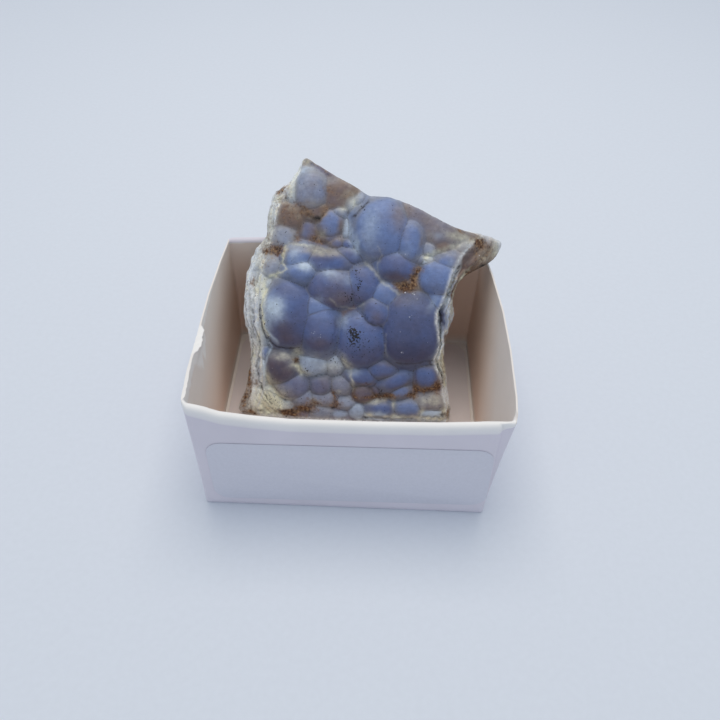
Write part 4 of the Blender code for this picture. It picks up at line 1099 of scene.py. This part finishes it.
@dataclass(frozen=True)
class ChalcedonyFinish:
    """Blue chalcedony, grown as a smooth crust from water and broken round its edges.

    The eye gets a waxy, slightly see-through blue skin with paler caps that are partly milky and
    partly painted highlights, painted shade on the lower sides of the bumps and in the creases
    between them, paler rims that are partly painted glow, dull brown hollows and seams between the
    bumps and grainy, banded broken sides.
    """

    blues: tuple = ((0.0, "5e76ae"), (0.5, "746f86"), (1.0, "7e665a"))
    # milky colour of the stone, also laid on as painted highlights
    milk_and_highlight: str = "bccbdc"
    # dark violet of the stone, also laid on as painted shade on the lower sides of the bumps
    deep: str = "3a3b5a"
    cream: str = "ebe9cf"
    gold: str = "8c6b44"
    # rim colours of the bumps, also laid on as painted glow at their rims
    edges: tuple = ((0.0, "6f7c99"), (0.35, "7b7f8a"), (1.0, "7a6656"))
    # painted shade in the creases between the bumps
    crease_shade: str = "474341"
    hollow: str = "8a6d50"
    rusts: tuple = ((0.0, "40291d"), (0.5, "735138"), (1.0, "ab8b66"))
    bands: tuple = ((0.28, "d2d8da"), (0.40, "f6fafc"), (0.50, "e8f0f8"), (0.62, "f8f8f2"),
                    (0.76, "e2dac4"))
    dark: str = "241d19"
    speck: str = "17161b"
    glint: str = "e4e8ee"
    lip: str = "eef1f0"
    smooth: float = 0.50
    rough: float = 0.82
    glow: float = 0.08
    mottle_mm: float = 3.2
    grain_mm: float = 0.28
    streak_mm: float = 0.5

    def build(self) -> bpy.types.Material:
        """Build the material from the stone's vertex attributes and noise.

        Returns:
            The material.
        """
        material, tree, shader = new_material("chalcedony_waxy_botryoidal")
        value = {name: add(tree, "ShaderNodeAttribute", {"attribute_name": name}, out="Fac")
                 for name in ATTRIBUTES}
        place = add(tree, "ShaderNodeTexCoord", out="Object")

        def noisy(size: float, detail: float = 3.0) -> bpy.types.NodeSocket:
            """Noise between 0 and 1 whose features are this many millimetres wide."""
            return add(tree, "ShaderNodeTexNoise", None,
                       {"Vector": place, "Scale": 1.0 / (size * MM), "Detail": detail})

        def scaled(source: bpy.types.NodeSocket, low: float, high: float,
                   start: float = 0.0, end: float = 1.0) -> bpy.types.NodeSocket:
            """Stretch the range low to high over start to end."""
            return add(tree, "ShaderNodeMapRange", None, {0: source, 1: low, 2: high,
                                                          3: start, 4: end})

        def times(a: bpy.types.NodeSocket | float, b: bpy.types.NodeSocket | float,
                  operation: str = "MULTIPLY") -> bpy.types.NodeSocket:
            """Multiply two values, or combine them by another operation, kept within 0 to 1."""
            return add(tree, "ShaderNodeMath", {"operation": operation, "use_clamp": True},
                       {0: a, 1: b})

        def over(base: bpy.types.NodeSocket, part: bpy.types.NodeSocket,
                 top: bpy.types.NodeSocket | str) -> bpy.types.NodeSocket:
            """Lay a colour over another by a share of 0 to 1."""
            top = linear(top) if isinstance(top, str) else top
            return add(tree, "ShaderNodeMix", {"data_type": "RGBA"},
                       {0: part, 6: base, 7: top}, out=2)

        mottle = noisy(self.mottle_mm, 5.0)
        grain = noisy(self.grain_mm)
        patchy = noisy(0.9, 4.0)
        tint = times(value["warm"], scaled(mottle, 0.3, 0.7, -0.14, 0.14), "ADD")
        skin = add(tree, "ShaderNodeValToRGB", None, {0: tint}, self.blues)
        # darker violet: partly the stone's own, partly painted shade on the lower sides of the bumps
        skin = over(skin, times(value["deep"], 0.8), self.deep)
        # paler rims round the bumps: partly their own rim colour, partly painted glow
        ring = times(value["earth"], scaled(mottle, 0.3, 0.7, -0.2, 0.2), "ADD")
        ring = add(tree, "ShaderNodeValToRGB", None, {0: ring}, self.edges)
        skin = over(skin, times(value["edge"], scaled(mottle, 0.3, 0.7, 0.3, 0.8)), ring)
        worn = times(value["earth"], value["warm"])
        skin = over(skin, times(worn, scaled(noisy(2.2, 5.0), 0.42, 0.66, 0.0, 0.5)), self.gold)
        skin = over(skin, times(worn, scaled(noisy(1.7, 5.0), 0.50, 0.78, 0.0, 0.22)), self.cream)
        # paler caps: partly the stone's milky colour, partly painted highlights
        skin = over(skin, times(value["pale"], scaled(patchy, 0.3, 0.7, 0.8, 1.0)), self.milk_and_highlight)
        # painted shade in the creases between the bumps
        crease_shade = times(value["crease"], scaled(patchy, 0.3, 0.7, 0.2, 0.8))
        skin = over(skin, crease_shade, self.crease_shade)
        skin = over(skin, times(value["hollow"], scaled(patchy, 0.3, 0.7, 0.5, 0.95)),
                    self.hollow)
        body = times(value["flank"], times(1.0, value["skin"], "SUBTRACT"))
        gate = times(times(value["hollow"], 0.4), times(value["flank"], 0.06), "ADD")
        gate = times(times(value["rust"], 8.0), gate, "ADD")
        pits = scaled(times(noisy(0.6, 5.0), times(value["rust"], 0.40), "ADD"), 0.56, 0.96)
        pits = times(pits, gate)
        rust = add(tree, "ShaderNodeValToRGB", None, {0: scaled(noisy(0.45, 6.0), 0.34, 0.66)},
                   self.rusts)

        lines = add(tree, "ShaderNodeMath", {"operation": "MULTIPLY"}, {0: value["layer"], 1: 0.7})
        bands = add(tree, "ShaderNodeTexNoise", {"noise_dimensions": "1D"},
                    {"W": lines, "Scale": 1.0, "Detail": 2.0})
        bands = add(tree, "ShaderNodeMath", None,
                    {0: bands, 1: scaled(patchy, 0.3, 0.7, -0.12, 0.12)})
        side = add(tree, "ShaderNodeValToRGB", None, {0: bands}, self.bands)
        skin = over(skin, body, side)
        chalk = times(value["cream"], scaled(patchy, 0.3, 0.7, 0.5, 1.1))
        skin = over(skin, chalk, self.cream)
        skin = over(skin, times(value["lip"], scaled(noisy(0.6), 0.3, 0.6, 0.3)), self.lip)
        skin = over(skin, times(value["rust"], scaled(patchy, 0.3, 0.7, 0.4, 0.8)), self.gold)
        skin = over(skin, pits, rust)
        # dark dirt and pits, and painted shade in grooves, hollows and under the broken corner
        dirt_and_shade = times(value["dark"], scaled(noisy(0.5), 0.32, 0.6, 0.4))
        skin = over(skin, dirt_and_shade, self.dark)

        dots = scaled(times(noisy(0.36), times(value["specks"], 0.20), "ADD"), 0.68, 0.73)
        skin = over(skin, dots, self.speck)
        # white points: partly the crystals' own white, partly painted glints
        spark = scaled(times(noisy(0.35), times(value["glints"], 0.20), "ADD"), 0.74, 0.80)
        skin = over(skin, spark, self.glint)
        coarse = times(body, value["hollow"], "ADD")
        coarse = times(coarse, times(chalk, 0.7), "ADD")
        coarse = times(coarse, pits, "ADD")
        coarse = times(coarse, times(value["crease"], 0.4), "ADD")
        drawn = add(tree, "ShaderNodeVectorMath", {"operation": "MULTIPLY"},
                    {0: place, 1: (0.25, 1.0, 1.0)})
        streak = add(tree, "ShaderNodeTexNoise", None,
                     {"Vector": drawn, "Scale": 1.0 / (self.streak_mm * MM), "Detail": 4.0})
        shade = add(tree, "ShaderNodeMath", {"operation": "MULTIPLY_ADD"},
                    {0: scaled(grain, 0.3, 0.7, -1.0, 1.0),
                     1: scaled(coarse, 0.0, 1.0, 0.05, 0.16), 2: 1.0})
        for variation in (scaled(patchy, 0.3, 0.7, 0.92, 1.08), scaled(streak, 0.3, 0.7, 0.94, 1.06)):
            shade = add(tree, "ShaderNodeMath", {"operation": "MULTIPLY"}, {0: shade, 1: variation})
        skin = add(tree, "ShaderNodeVectorMath", {"operation": "SCALE"},
                   {0: skin, "Scale": shade})
        tree.links.new(skin, shader.inputs["Base Color"])

        tree.links.new(scaled(coarse, 0.0, 1.0, self.smooth, self.rough),
                       shader.inputs["Roughness"])
        relief = times(scaled(coarse, 0.0, 1.0, 0.03, 1.0), grain)
        bump = add(tree, "ShaderNodeBump", None, {"Strength": 0.45, "Distance": 0.12 * MM,
                                                  "Height": relief})
        tree.links.new(bump, shader.inputs["Normal"])
        shader.inputs["IOR"].default_value = 1.54
        shader.inputs["Subsurface Weight"].default_value = self.glow
        shader.inputs["Subsurface Radius"].default_value = (0.8, 1.0, 1.4)
        shader.inputs["Subsurface Scale"].default_value = 1.0 * MM
        return material


@dataclass(frozen=True)
class CardFinish:
    """Grey card with a bleached liner on one side, die cut and folded by hand.

    The eye gets a matt inside painted browner and darker toward the floor and the back as painted
    shade and warm bounce light, a whiter outside, a rolled front rim painted whiter along its top as
    a painted highlight, and bare cut edges that show the card's fibres.
    """

    liner: str = "e2dde6"
    inside: str = "efe7df"
    # painted shade and warm bounce light: the browner, darker inside near the floor and the back
    depth: str = "ebcbb6"
    # white of bare cut and torn edges, also laid on as a painted highlight along the top of the
    # rolled front rim
    cut_edge_and_roll_highlight: str = "faf8f4"
    rough: float = 0.78
    cloud_mm: float = 9.0
    fibre_mm: float = 0.35

    def build(self) -> bpy.types.Material:
        """Build the material from the tray's vertex attributes and noise.

        Returns:
            The material.
        """
        material, tree, shader = new_material("white_lined_card_folded")
        place = add(tree, "ShaderNodeTexCoord", out="Object")
        lined = add(tree, "ShaderNodeAttribute", {"attribute_name": "lined"}, out="Fac")
        cut = add(tree, "ShaderNodeAttribute", {"attribute_name": "cut"}, out="Fac")
        cloud = add(tree, "ShaderNodeTexNoise", None,
                    {"Vector": place, "Scale": 1.0 / (self.cloud_mm * MM), "Detail": 3.0})
        fibre = add(tree, "ShaderNodeTexNoise", None,
                    {"Vector": place, "Scale": 1.0 / (self.fibre_mm * MM), "Detail": 4.0})
        # deep mixes in the painted shade colour toward the floor and the back
        deep = add(tree, "ShaderNodeAttribute", {"attribute_name": "deep"}, out="Fac")
        skin = add(tree, "ShaderNodeMix", {"data_type": "RGBA"},
                   {0: deep, 6: linear(self.inside), 7: linear(self.depth)}, out=2)
        skin = add(tree, "ShaderNodeMix", {"data_type": "RGBA"},
                   {0: lined, 6: skin, 7: linear(self.liner)}, out=2)
        skin = add(tree, "ShaderNodeMix", {"data_type": "RGBA"},
                   {0: cut, 6: skin, 7: linear(self.cut_edge_and_roll_highlight)}, out=2)
        shade = add(tree, "ShaderNodeMapRange", None, {0: cloud, 1: 0.3, 2: 0.7, 3: 0.97, 4: 1.02})
        skin = add(tree, "ShaderNodeVectorMath", {"operation": "SCALE"}, {0: skin, "Scale": shade})
        tree.links.new(skin, shader.inputs["Base Color"])
        shader.inputs["Roughness"].default_value = self.rough
        shader.inputs["IOR"].default_value = 1.45
        bump = add(tree, "ShaderNodeBump", None, {"Strength": 0.25, "Distance": 0.05 * MM,
                                                  "Height": fibre})
        tree.links.new(bump, shader.inputs["Normal"])
        return material


@dataclass(frozen=True)
class PaperFinish:
    """Thin white printing paper, glued on the card.

    The eye gets a smoother and slightly greyer rectangle than the card round it.
    """

    paper: str = "dcdce6"
    rough: float = 0.6
    fibre_mm: float = 0.5

    def build(self) -> bpy.types.Material:
        """Build the material.

        Returns:
            The material.
        """
        material, tree, shader = new_material("label_paper_uncoated")
        place = add(tree, "ShaderNodeTexCoord", out="Object")
        fibre = add(tree, "ShaderNodeTexNoise", None,
                    {"Vector": place, "Scale": 1.0 / (self.fibre_mm * MM), "Detail": 4.0})
        shade = add(tree, "ShaderNodeMapRange", None, {0: fibre, 1: 0.3, 2: 0.7, 3: 0.98, 4: 1.02})
        skin = add(tree, "ShaderNodeVectorMath", {"operation": "SCALE"},
                   {0: linear(self.paper)[:3], "Scale": shade})
        tree.links.new(skin, shader.inputs["Base Color"])
        shader.inputs["Roughness"].default_value = self.rough
        shader.inputs["IOR"].default_value = 1.45
        bump = add(tree, "ShaderNodeBump", None, {"Strength": 0.15, "Distance": 0.03 * MM,
                                                  "Height": fibre})
        tree.links.new(bump, shader.inputs["Normal"])
        return material


def rounded_rectangle(half_width: float, half_depth: float, radius: float,
                      wall_points: int, corner_points: int) -> Ring:
    """Points round a rectangle with arcs for corners, anticlockwise from the front left.

    Args:
        half_width: half its size along x.
        half_depth: half its size along y.
        radius: radius of the corners.
        wall_points: steps along each straight side.
        corner_points: steps round each corner.

    Returns:
        One row of x and y for each point.
    """
    centres = ((1, -1, -90.0), (1, 1, 0.0), (-1, 1, 90.0), (-1, -1, 180.0))
    arcs = []
    for side_x, side_y, start in centres:
        turns = np.radians(start + 90.0 * np.arange(corner_points + 1) / corner_points)
        centre = np.array([side_x * (half_width - radius), side_y * (half_depth - radius)])
        arcs.append(centre + radius * np.column_stack([np.cos(turns), np.sin(turns)]))
    points = []
    for before, after in zip([arcs[-1]] + arcs[:-1], arcs):
        steps = np.arange(1, wall_points)[:, None] / wall_points
        points.append(before[-1] + (after[0] - before[-1]) * steps)
        points.append(after)
    return np.vstack(points)


@dataclass
class CardTray:
    """The folded tray: outer walls, rolled front rim, cut side rims, inside and floor flap."""

    width: float = 50.0
    depth: float = 45.0
    card: float = 0.6
    folded_wall: float = 1.4
    fold_radius: float = 0.8
    floor_top: float = 0.7
    flap_top: float = 1.1
    flap_side_gap: float = 0.3
    flap_front_gap: float = 0.2
    flap_back_gap: float = 1.0
    flap_corner: float = 3.0
    side_rim: float = 25.2
    back_rim: tuple = ((-25.0, 26.0), (-16.0, 26.5), (-10.0, 25.0), (25.0, 25.0))
    front_rim: tuple = ((-25.0, 26.2), (-22.8, 25.3), (-20.0, 24.2), (-15.0, 23.5),
                        (-9.0, 23.0), (4.0, 23.1), (15.0, 23.5), (25.0, 24.4))
    bow_right: tuple = ((-22.5, 0.0), (-21.8, 0.0), (-21.72, 2.2), (-17.0, 2.6), (-6.0, 2.8),
                        (4.0, 2.5), (14.0, 1.5), (22.5, 0.1))
    bow_left: tuple = ((-22.5, 0.4), (-20.0, 1.3), (-14.0, 1.6), (-4.0, 1.55), (6.0, 1.5),
                       (15.0, 0.9), (22.5, 0.0))
    bow_power: float = 1.4
    bow_from: float = 22.0
    bow_over: float = 2.2
    roll: float = 2.2
    roll_bulge: float = 0.25
    edge_card: float = 0.32
    torn: tuple = ((-22.5, 2.0), (-20.0, 2.6), (-12.0, 1.8), (-9.6, 2.2), (-8.8, 5.0), (-5.0, 5.6),
                   (-2.6, 4.2), (-1.9, 1.4), (4.0, 0.9), (8.0, 0.3), (22.5, 0.2))
    peeled: tuple = ((-22.0, 0.15), (-20.0, 0.3), (-14.0, 0.25), (-11.0, 0.1), (-9.6, 0.2),
                     (-8.9, 0.55), (-7.0, 0.75), (-5.6, 0.55), (-4.2, 0.65), (-3.2, 0.4),
                     (-2.6, 0.0))
    crumpled: tuple = ((-22.5, 0.7), (-21.7, 0.8), (-21.0, 0.3), (-20.3, 0.0))
    wall_points: int = 110
    corner_points: int = 10
    wall_rows: int = 26
    rim_rows: int = 16
    jag: float = 0.10

    def rim_height(self, ring: Ring) -> np.ndarray:
        """Height of the rim above points of the plan.

        Args:
            ring: points of the outer plan.

        Returns:
            One height each.
        """
        x, y = ring[:, 0], ring[:, 1]
        toward_front = np.clip((-y - self.depth / 2 + 2.0) / 1.2, 0.0, 1.0)
        toward_back = np.clip((y - self.depth / 2 + 2.0) / 1.2, 0.0, 1.0)
        front = np.interp(x, *zip(*self.front_rim))
        rise = np.where(x < 0, np.clip((y - 6.0) / (self.depth / 2 - 6.0), 0.0, 1.0) ** 2, 0.0)
        side = (self.side_rim + 0.9 * rise) * (1.0 - toward_front) + front * toward_front
        back = np.interp(x, *zip(*self.back_rim))
        flat = np.column_stack([ring, np.zeros(len(ring))])
        rough = wave(flat, 0.9, (2.0, 3.0, 1.0)) + 0.7 * wave(flat, 3.0, (5.0, 1.0, 1.0))
        torn = np.where(x < 0, np.interp(y, *zip(*self.torn)) / 2.0, 0.4) * (1.0 - toward_front)
        return side * (1.0 - toward_back) + back * toward_back + self.jag * rough * torn

    def bowed(self, ring: Ring, height: np.ndarray) -> np.ndarray:
        """Lean the side walls outward, by an amount that changes along each wall and grows toward the
        rim.

        Args:
            ring: points of the plan.
            height: height of each point.

        Returns:
            One row of x, y and z for each point.
        """
        x, y = ring[:, 0], ring[:, 1]
        lift = np.maximum(0.0, height / self.side_rim) ** self.bow_power
        right = np.interp(y, *zip(*self.bow_right))
        left = -np.interp(y, *zip(*self.bow_left))
        share = np.clip((np.abs(x) - self.bow_from) / self.bow_over, 0.0, 1.0) ** 2
        lean = np.where(x > 0, right, left) * lift * share
        return np.column_stack([x + lean, y, height])

    def build(self, material: bpy.types.Material) -> bpy.types.Object:
        """Build the tray.

        Args:
            material: its finish.

        Returns:
            The finished piece.
        """
        half_w, half_d = self.width / 2, self.depth / 2

        def plan(inset_x: float, inset_y: float, radius: float) -> Ring:
            """Plan of one surface, inset from the outside."""
            return rounded_rectangle(half_w - inset_x, half_d - inset_y, radius,
                                     self.wall_points, self.corner_points)

        outer = plan(0.0, 0.0, self.fold_radius)
        inner = plan(self.edge_card, self.folded_wall, self.fold_radius / 2)
        under = plan(self.card / 2, self.card / 2, self.fold_radius)
        count = len(outer)
        flat = np.column_stack([inner, np.zeros(count)])
        peel = np.where(inner[:, 0] > self.bow_from,
                        -np.interp(inner[:, 1], *zip(*self.crumpled)), 0.0)
        peel = np.where(inner[:, 0] < -self.bow_from,
                        np.interp(inner[:, 1], *zip(*self.peeled)), peel)
        peel = peel * np.clip(1.0 + 0.35 * wave(flat, 0.8, (7.0, 1.0, 2.0)), 0.4, 1.5)
        bare = 0.3 + 0.7 * np.clip(np.abs(peel) / 0.4, 0.0, 1.0)
        tops = self.rim_height(outer)
        halves = np.where(np.abs(outer[:, 1]) > half_d - self.fold_radius,
                          self.folded_wall, self.edge_card) / 2
        shoulders = np.where(outer[:, 1] < -half_d + 0.7, self.roll, halves)
        rings = [np.column_stack([under, np.zeros(count)])]
        lined = [1.0]
        cut = [0.0]
        for row in range(self.wall_rows + 1):
            part = row / self.wall_rows
            height = self.card / 2 + (tops - shoulders - self.card / 2) * part
            rings.append(self.bowed(outer, height))
            lined.append(1.0)
            cut.append(0.0)
        square = np.clip((halves - 0.3) / 0.4, 0.0, 1.0)
        for row in range(1, self.rim_rows):
            turn = math.pi * row / self.rim_rows
            power = 0.35 + 0.65 * square
            across = np.sign(math.cos(turn)) * abs(math.cos(turn)) ** power
            rise = math.sin(turn) ** power
            out = ((1.0 + across) / 2)[:, None]
            ring = outer * out + inner * (1.0 - out)
            ring[:, 0] += peel * (1.0 - out[:, 0])
            drop = shoulders if turn < math.pi / 2 else halves
            rounded = self.bowed(ring, tops - drop * (1.0 - rise))
            if turn < math.pi / 2:
                rounded[:, 1] -= np.where(shoulders > 1.0,
                                          self.roll_bulge * math.sin(2.0 * turn), 0.0)
            rings.append(rounded)
            lined.append(square)
            # on the rolled front rim the bare white is laid on more toward its top, as a painted
            # highlight
            cut.append(np.where(shoulders > 1.0, rise**0.4, (1.0 - square) * bare))
        # deep: the inside is painted browner and darker toward the floor and more so toward the back,
        # as painted shade and warm bounce light
        deep = [0.0] * len(rings)
        frayed = np.interp(inner[:, 1], *zip(*self.torn))
        frayed = frayed * (1.0 + 0.5 * wave(flat, 1.3, (3.0, 1.0, 1.0)))
        frayed = np.where(inner[:, 0] < -self.bow_from, frayed, 0.0)
        toward_back = np.where(inner[:, 0] > 0.0, 0.7, 0.4) * (inner[:, 1] / half_d)
        for row in range(self.wall_rows + 1):
            part = 1.0 - (row / self.wall_rows) ** 1.5
            height = self.floor_top + (tops - halves - self.floor_top) * part
            ring = inner.copy()
            ring[:, 0] += peel * np.clip(1.0 - (tops - halves - height) / 2.4, 0.0, 1.0) ** 0.7
            rings.append(self.bowed(ring, height))
            lined.append(0.0)
            cut.append(np.clip((frayed - (tops - halves - height)) / 0.3, 0.0, 1.0))
            foot = np.clip(height - self.floor_top, 0.0, 2.0) / 2.0
            deep.append(np.clip(1.05 - 1.2 * part + toward_back, 0.0, 0.85) * foot)
        flap_half = (half_w - self.card - self.flap_side_gap,
                     half_d - self.folded_wall - (self.flap_front_gap + self.flap_back_gap) / 2)
        shift = np.array([0.0, (self.flap_front_gap - self.flap_back_gap) / 2])
        flap = rounded_rectangle(*flap_half, self.flap_corner, self.wall_points,
                                 self.corner_points) + shift
        edge = rounded_rectangle(flap_half[0] - 0.1, flap_half[1] - 0.1, self.flap_corner,
                                 self.wall_points, self.corner_points) + shift
        rings.append(np.column_stack([flap, np.full(count, self.floor_top)]))
        rings.append(np.column_stack([flap, np.full(count, self.flap_top - 0.1)]))
        rings.append(np.column_stack([edge, np.full(count, self.flap_top)]))
        lined += [0.0, 0.0, 0.4]
        cut += [0.0, 0.0, 0.0]
        deep += [0.0, 0.0, 0.1]

        bm = bmesh.new()
        loops = [[bm.verts.new(point) for point in ring] for ring in rings]
        for lower, upper in zip(loops, loops[1:]):
            stitch(bm, lower, upper)
        bm.faces.new(list(reversed(loops[0])))
        bm.faces.new(loops[-1])
        bmesh.ops.scale(bm, vec=(MM, MM, MM), verts=bm.verts)
        bmesh.ops.recalc_face_normals(bm, faces=bm.faces)
        piece = add_piece("card_tray_folded", bm, material, "card_tray",
                          math.radians(50.0))
        for name, parts in (("lined", lined), ("cut", cut), ("deep", deep)):
            layer = piece.data.attributes.new(name, "FLOAT", "POINT")
            values = [np.broadcast_to(part, (count,)) for part in parts]
            layer.data.foreach_set("value", np.concatenate(values).astype(np.float32))
        return piece


@dataclass
class PaperLabel:
    """The paper label on the front wall."""

    width: float = 47.8
    height: float = 15.4
    corner: float = 2.7
    thickness: float = 0.1
    gap: float = 0.04
    middle: tuple[float, float] = (0.85, 10.0)
    tilt: float = math.radians(0.9)
    wall: float = -22.5

    def build(self, material: bpy.types.Material) -> bpy.types.Object:
        """Build the label.

        Args:
            material: its finish.

        Returns:
            The finished piece.
        """
        outline = rounded_rectangle(self.width / 2, self.height / 2, self.corner, 40, 12)
        inset = rounded_rectangle(self.width / 2 - 0.03, self.height / 2 - 0.03, self.corner,
                                  40, 12)
        back = self.wall - self.gap
        front = back - self.thickness
        rings = [(inset, back), (outline, back - 0.02), (outline, front + 0.02), (inset, front)]
        c, s = math.cos(self.tilt), math.sin(self.tilt)
        bm = bmesh.new()
        loops = []
        for ring, y in rings:
            loops.append([bm.verts.new((self.middle[0] + x * c - z * s, y,
                                        self.middle[1] + x * s + z * c)) for x, z in ring])
        for lower, upper in zip(loops, loops[1:]):
            stitch(bm, lower, upper)
        bm.faces.new(loops[0])
        bm.faces.new(loops[-1])
        bmesh.ops.scale(bm, vec=(MM, MM, MM), verts=bm.verts)
        bmesh.ops.recalc_face_normals(bm, faces=bm.faces)
        return add_piece("label_blank_paper", bm, material, "label")


@dataclass
class Studio:
    """The pale floor, the soft light and the camera."""

    floor_color: str = "e0e6ee"
    floor_size: float = 3.0
    sky_color: str = "dfe8f5"
    sky_strength: float = 0.66
    key_color: str = "fff6ea"
    key_power: float = 0.80
    key_size: float = 0.30
    key_place: tuple[float, float, float] = (0.0, 0.11, 0.42)
    focal_pixels: float = 755.4
    image_pixels: float = 720.0
    sensor: float = 36.0
    azimuth: float = math.radians(0.863)
    elevation: float = math.radians(45.21)
    roll: float = math.radians(1.526)
    target: tuple[float, float, float] = (1.546, 15.118, 0.0)
    distance: float = 162.52

    def build_floor(self) -> bpy.types.Object:
        """Lay the floor.

        Returns:
            The floor.
        """
        material, tree, shader = new_material("painted_board_matt")
        place = add(tree, "ShaderNodeTexCoord", out="Object")
        grain = add(tree, "ShaderNodeTexNoise", None, {"Vector": place, "Scale": 900.0})
        shade = add(tree, "ShaderNodeMapRange", None, {0: grain, 1: 0.3, 2: 0.7, 3: 0.99, 4: 1.01})
        skin = add(tree, "ShaderNodeVectorMath", {"operation": "SCALE"},
                   {0: linear(self.floor_color)[:3], "Scale": shade})
        tree.links.new(skin, shader.inputs["Base Color"])
        shader.inputs["Roughness"].default_value = 0.8
        bm = bmesh.new()
        bmesh.ops.create_grid(bm, x_segments=1, y_segments=1, size=self.floor_size / 2)
        mesh = bpy.data.meshes.new("floor")
        bm.to_mesh(mesh)
        bm.free()
        mesh.materials.append(material)
        floor = bpy.data.objects.new("floor", mesh)
        bpy.context.scene.collection.objects.link(floor)
        return floor

    def build_light(self) -> bpy.types.Object:
        """Light the scene from all round, with a soft lamp overhead.

        Returns:
            The lamp.
        """
        world = bpy.data.worlds.new("studio")
        world.use_nodes = True
        sky = world.node_tree.nodes["Background"]
        sky.inputs["Color"].default_value = linear(self.sky_color)
        sky.inputs["Strength"].default_value = self.sky_strength
        bpy.context.scene.world = world
        lamp = bpy.data.lights.new("overhead_panel", "AREA")
        lamp.size = self.key_size
        lamp.energy = self.key_power
        lamp.color = linear(self.key_color)[:3]
        key = bpy.data.objects.new("overhead_panel", lamp)
        key.location = self.key_place
        key.rotation_euler = (-Vector(self.key_place)).to_track_quat("-Z", "Y").to_euler()
        bpy.context.scene.collection.objects.link(key)
        return key

    def build_camera(self) -> bpy.types.Object:
        """Place the camera where the photograph was taken from.

        Returns:
            The camera.
        """
        az, el = self.azimuth, self.elevation
        back = Vector((math.sin(az) * math.cos(el), -math.cos(az) * math.cos(el), math.sin(el)))
        right = Vector((0.0, 0.0, 1.0)).cross(back).normalized()
        up = back.cross(right)
        image_right = right * math.cos(self.roll) + up * math.sin(self.roll)
        image_up = back.cross(image_right)
        data = bpy.data.cameras.new("camera")
        data.sensor_width = self.sensor
        data.lens = self.focal_pixels / self.image_pixels * self.sensor
        data.clip_start = 0.01
        camera = bpy.data.objects.new("camera", data)
        turn = Matrix((image_right, image_up, back)).transposed()
        place = (Vector(self.target) + back * self.distance) * MM
        camera.matrix_world = Matrix.Translation(place) @ turn.to_4x4()
        bpy.context.scene.collection.objects.link(camera)
        bpy.context.scene.camera = camera
        return camera


def main() -> None:
    """Build the three pieces, the floor, the light and the camera."""
    logging.basicConfig(level=logging.INFO, format="%(name)s: %(message)s")
    bpy.context.scene.view_settings.view_transform = "Standard"
    CardTray().build(CardFinish().build())
    PaperLabel().build(PaperFinish().build())
    ChalcedonySlab().build(ChalcedonyFinish().build())
    studio = Studio()
    floor = studio.build_floor()
    key = studio.build_light()
    camera = studio.build_camera()


if __name__ == "__main__":
    main()
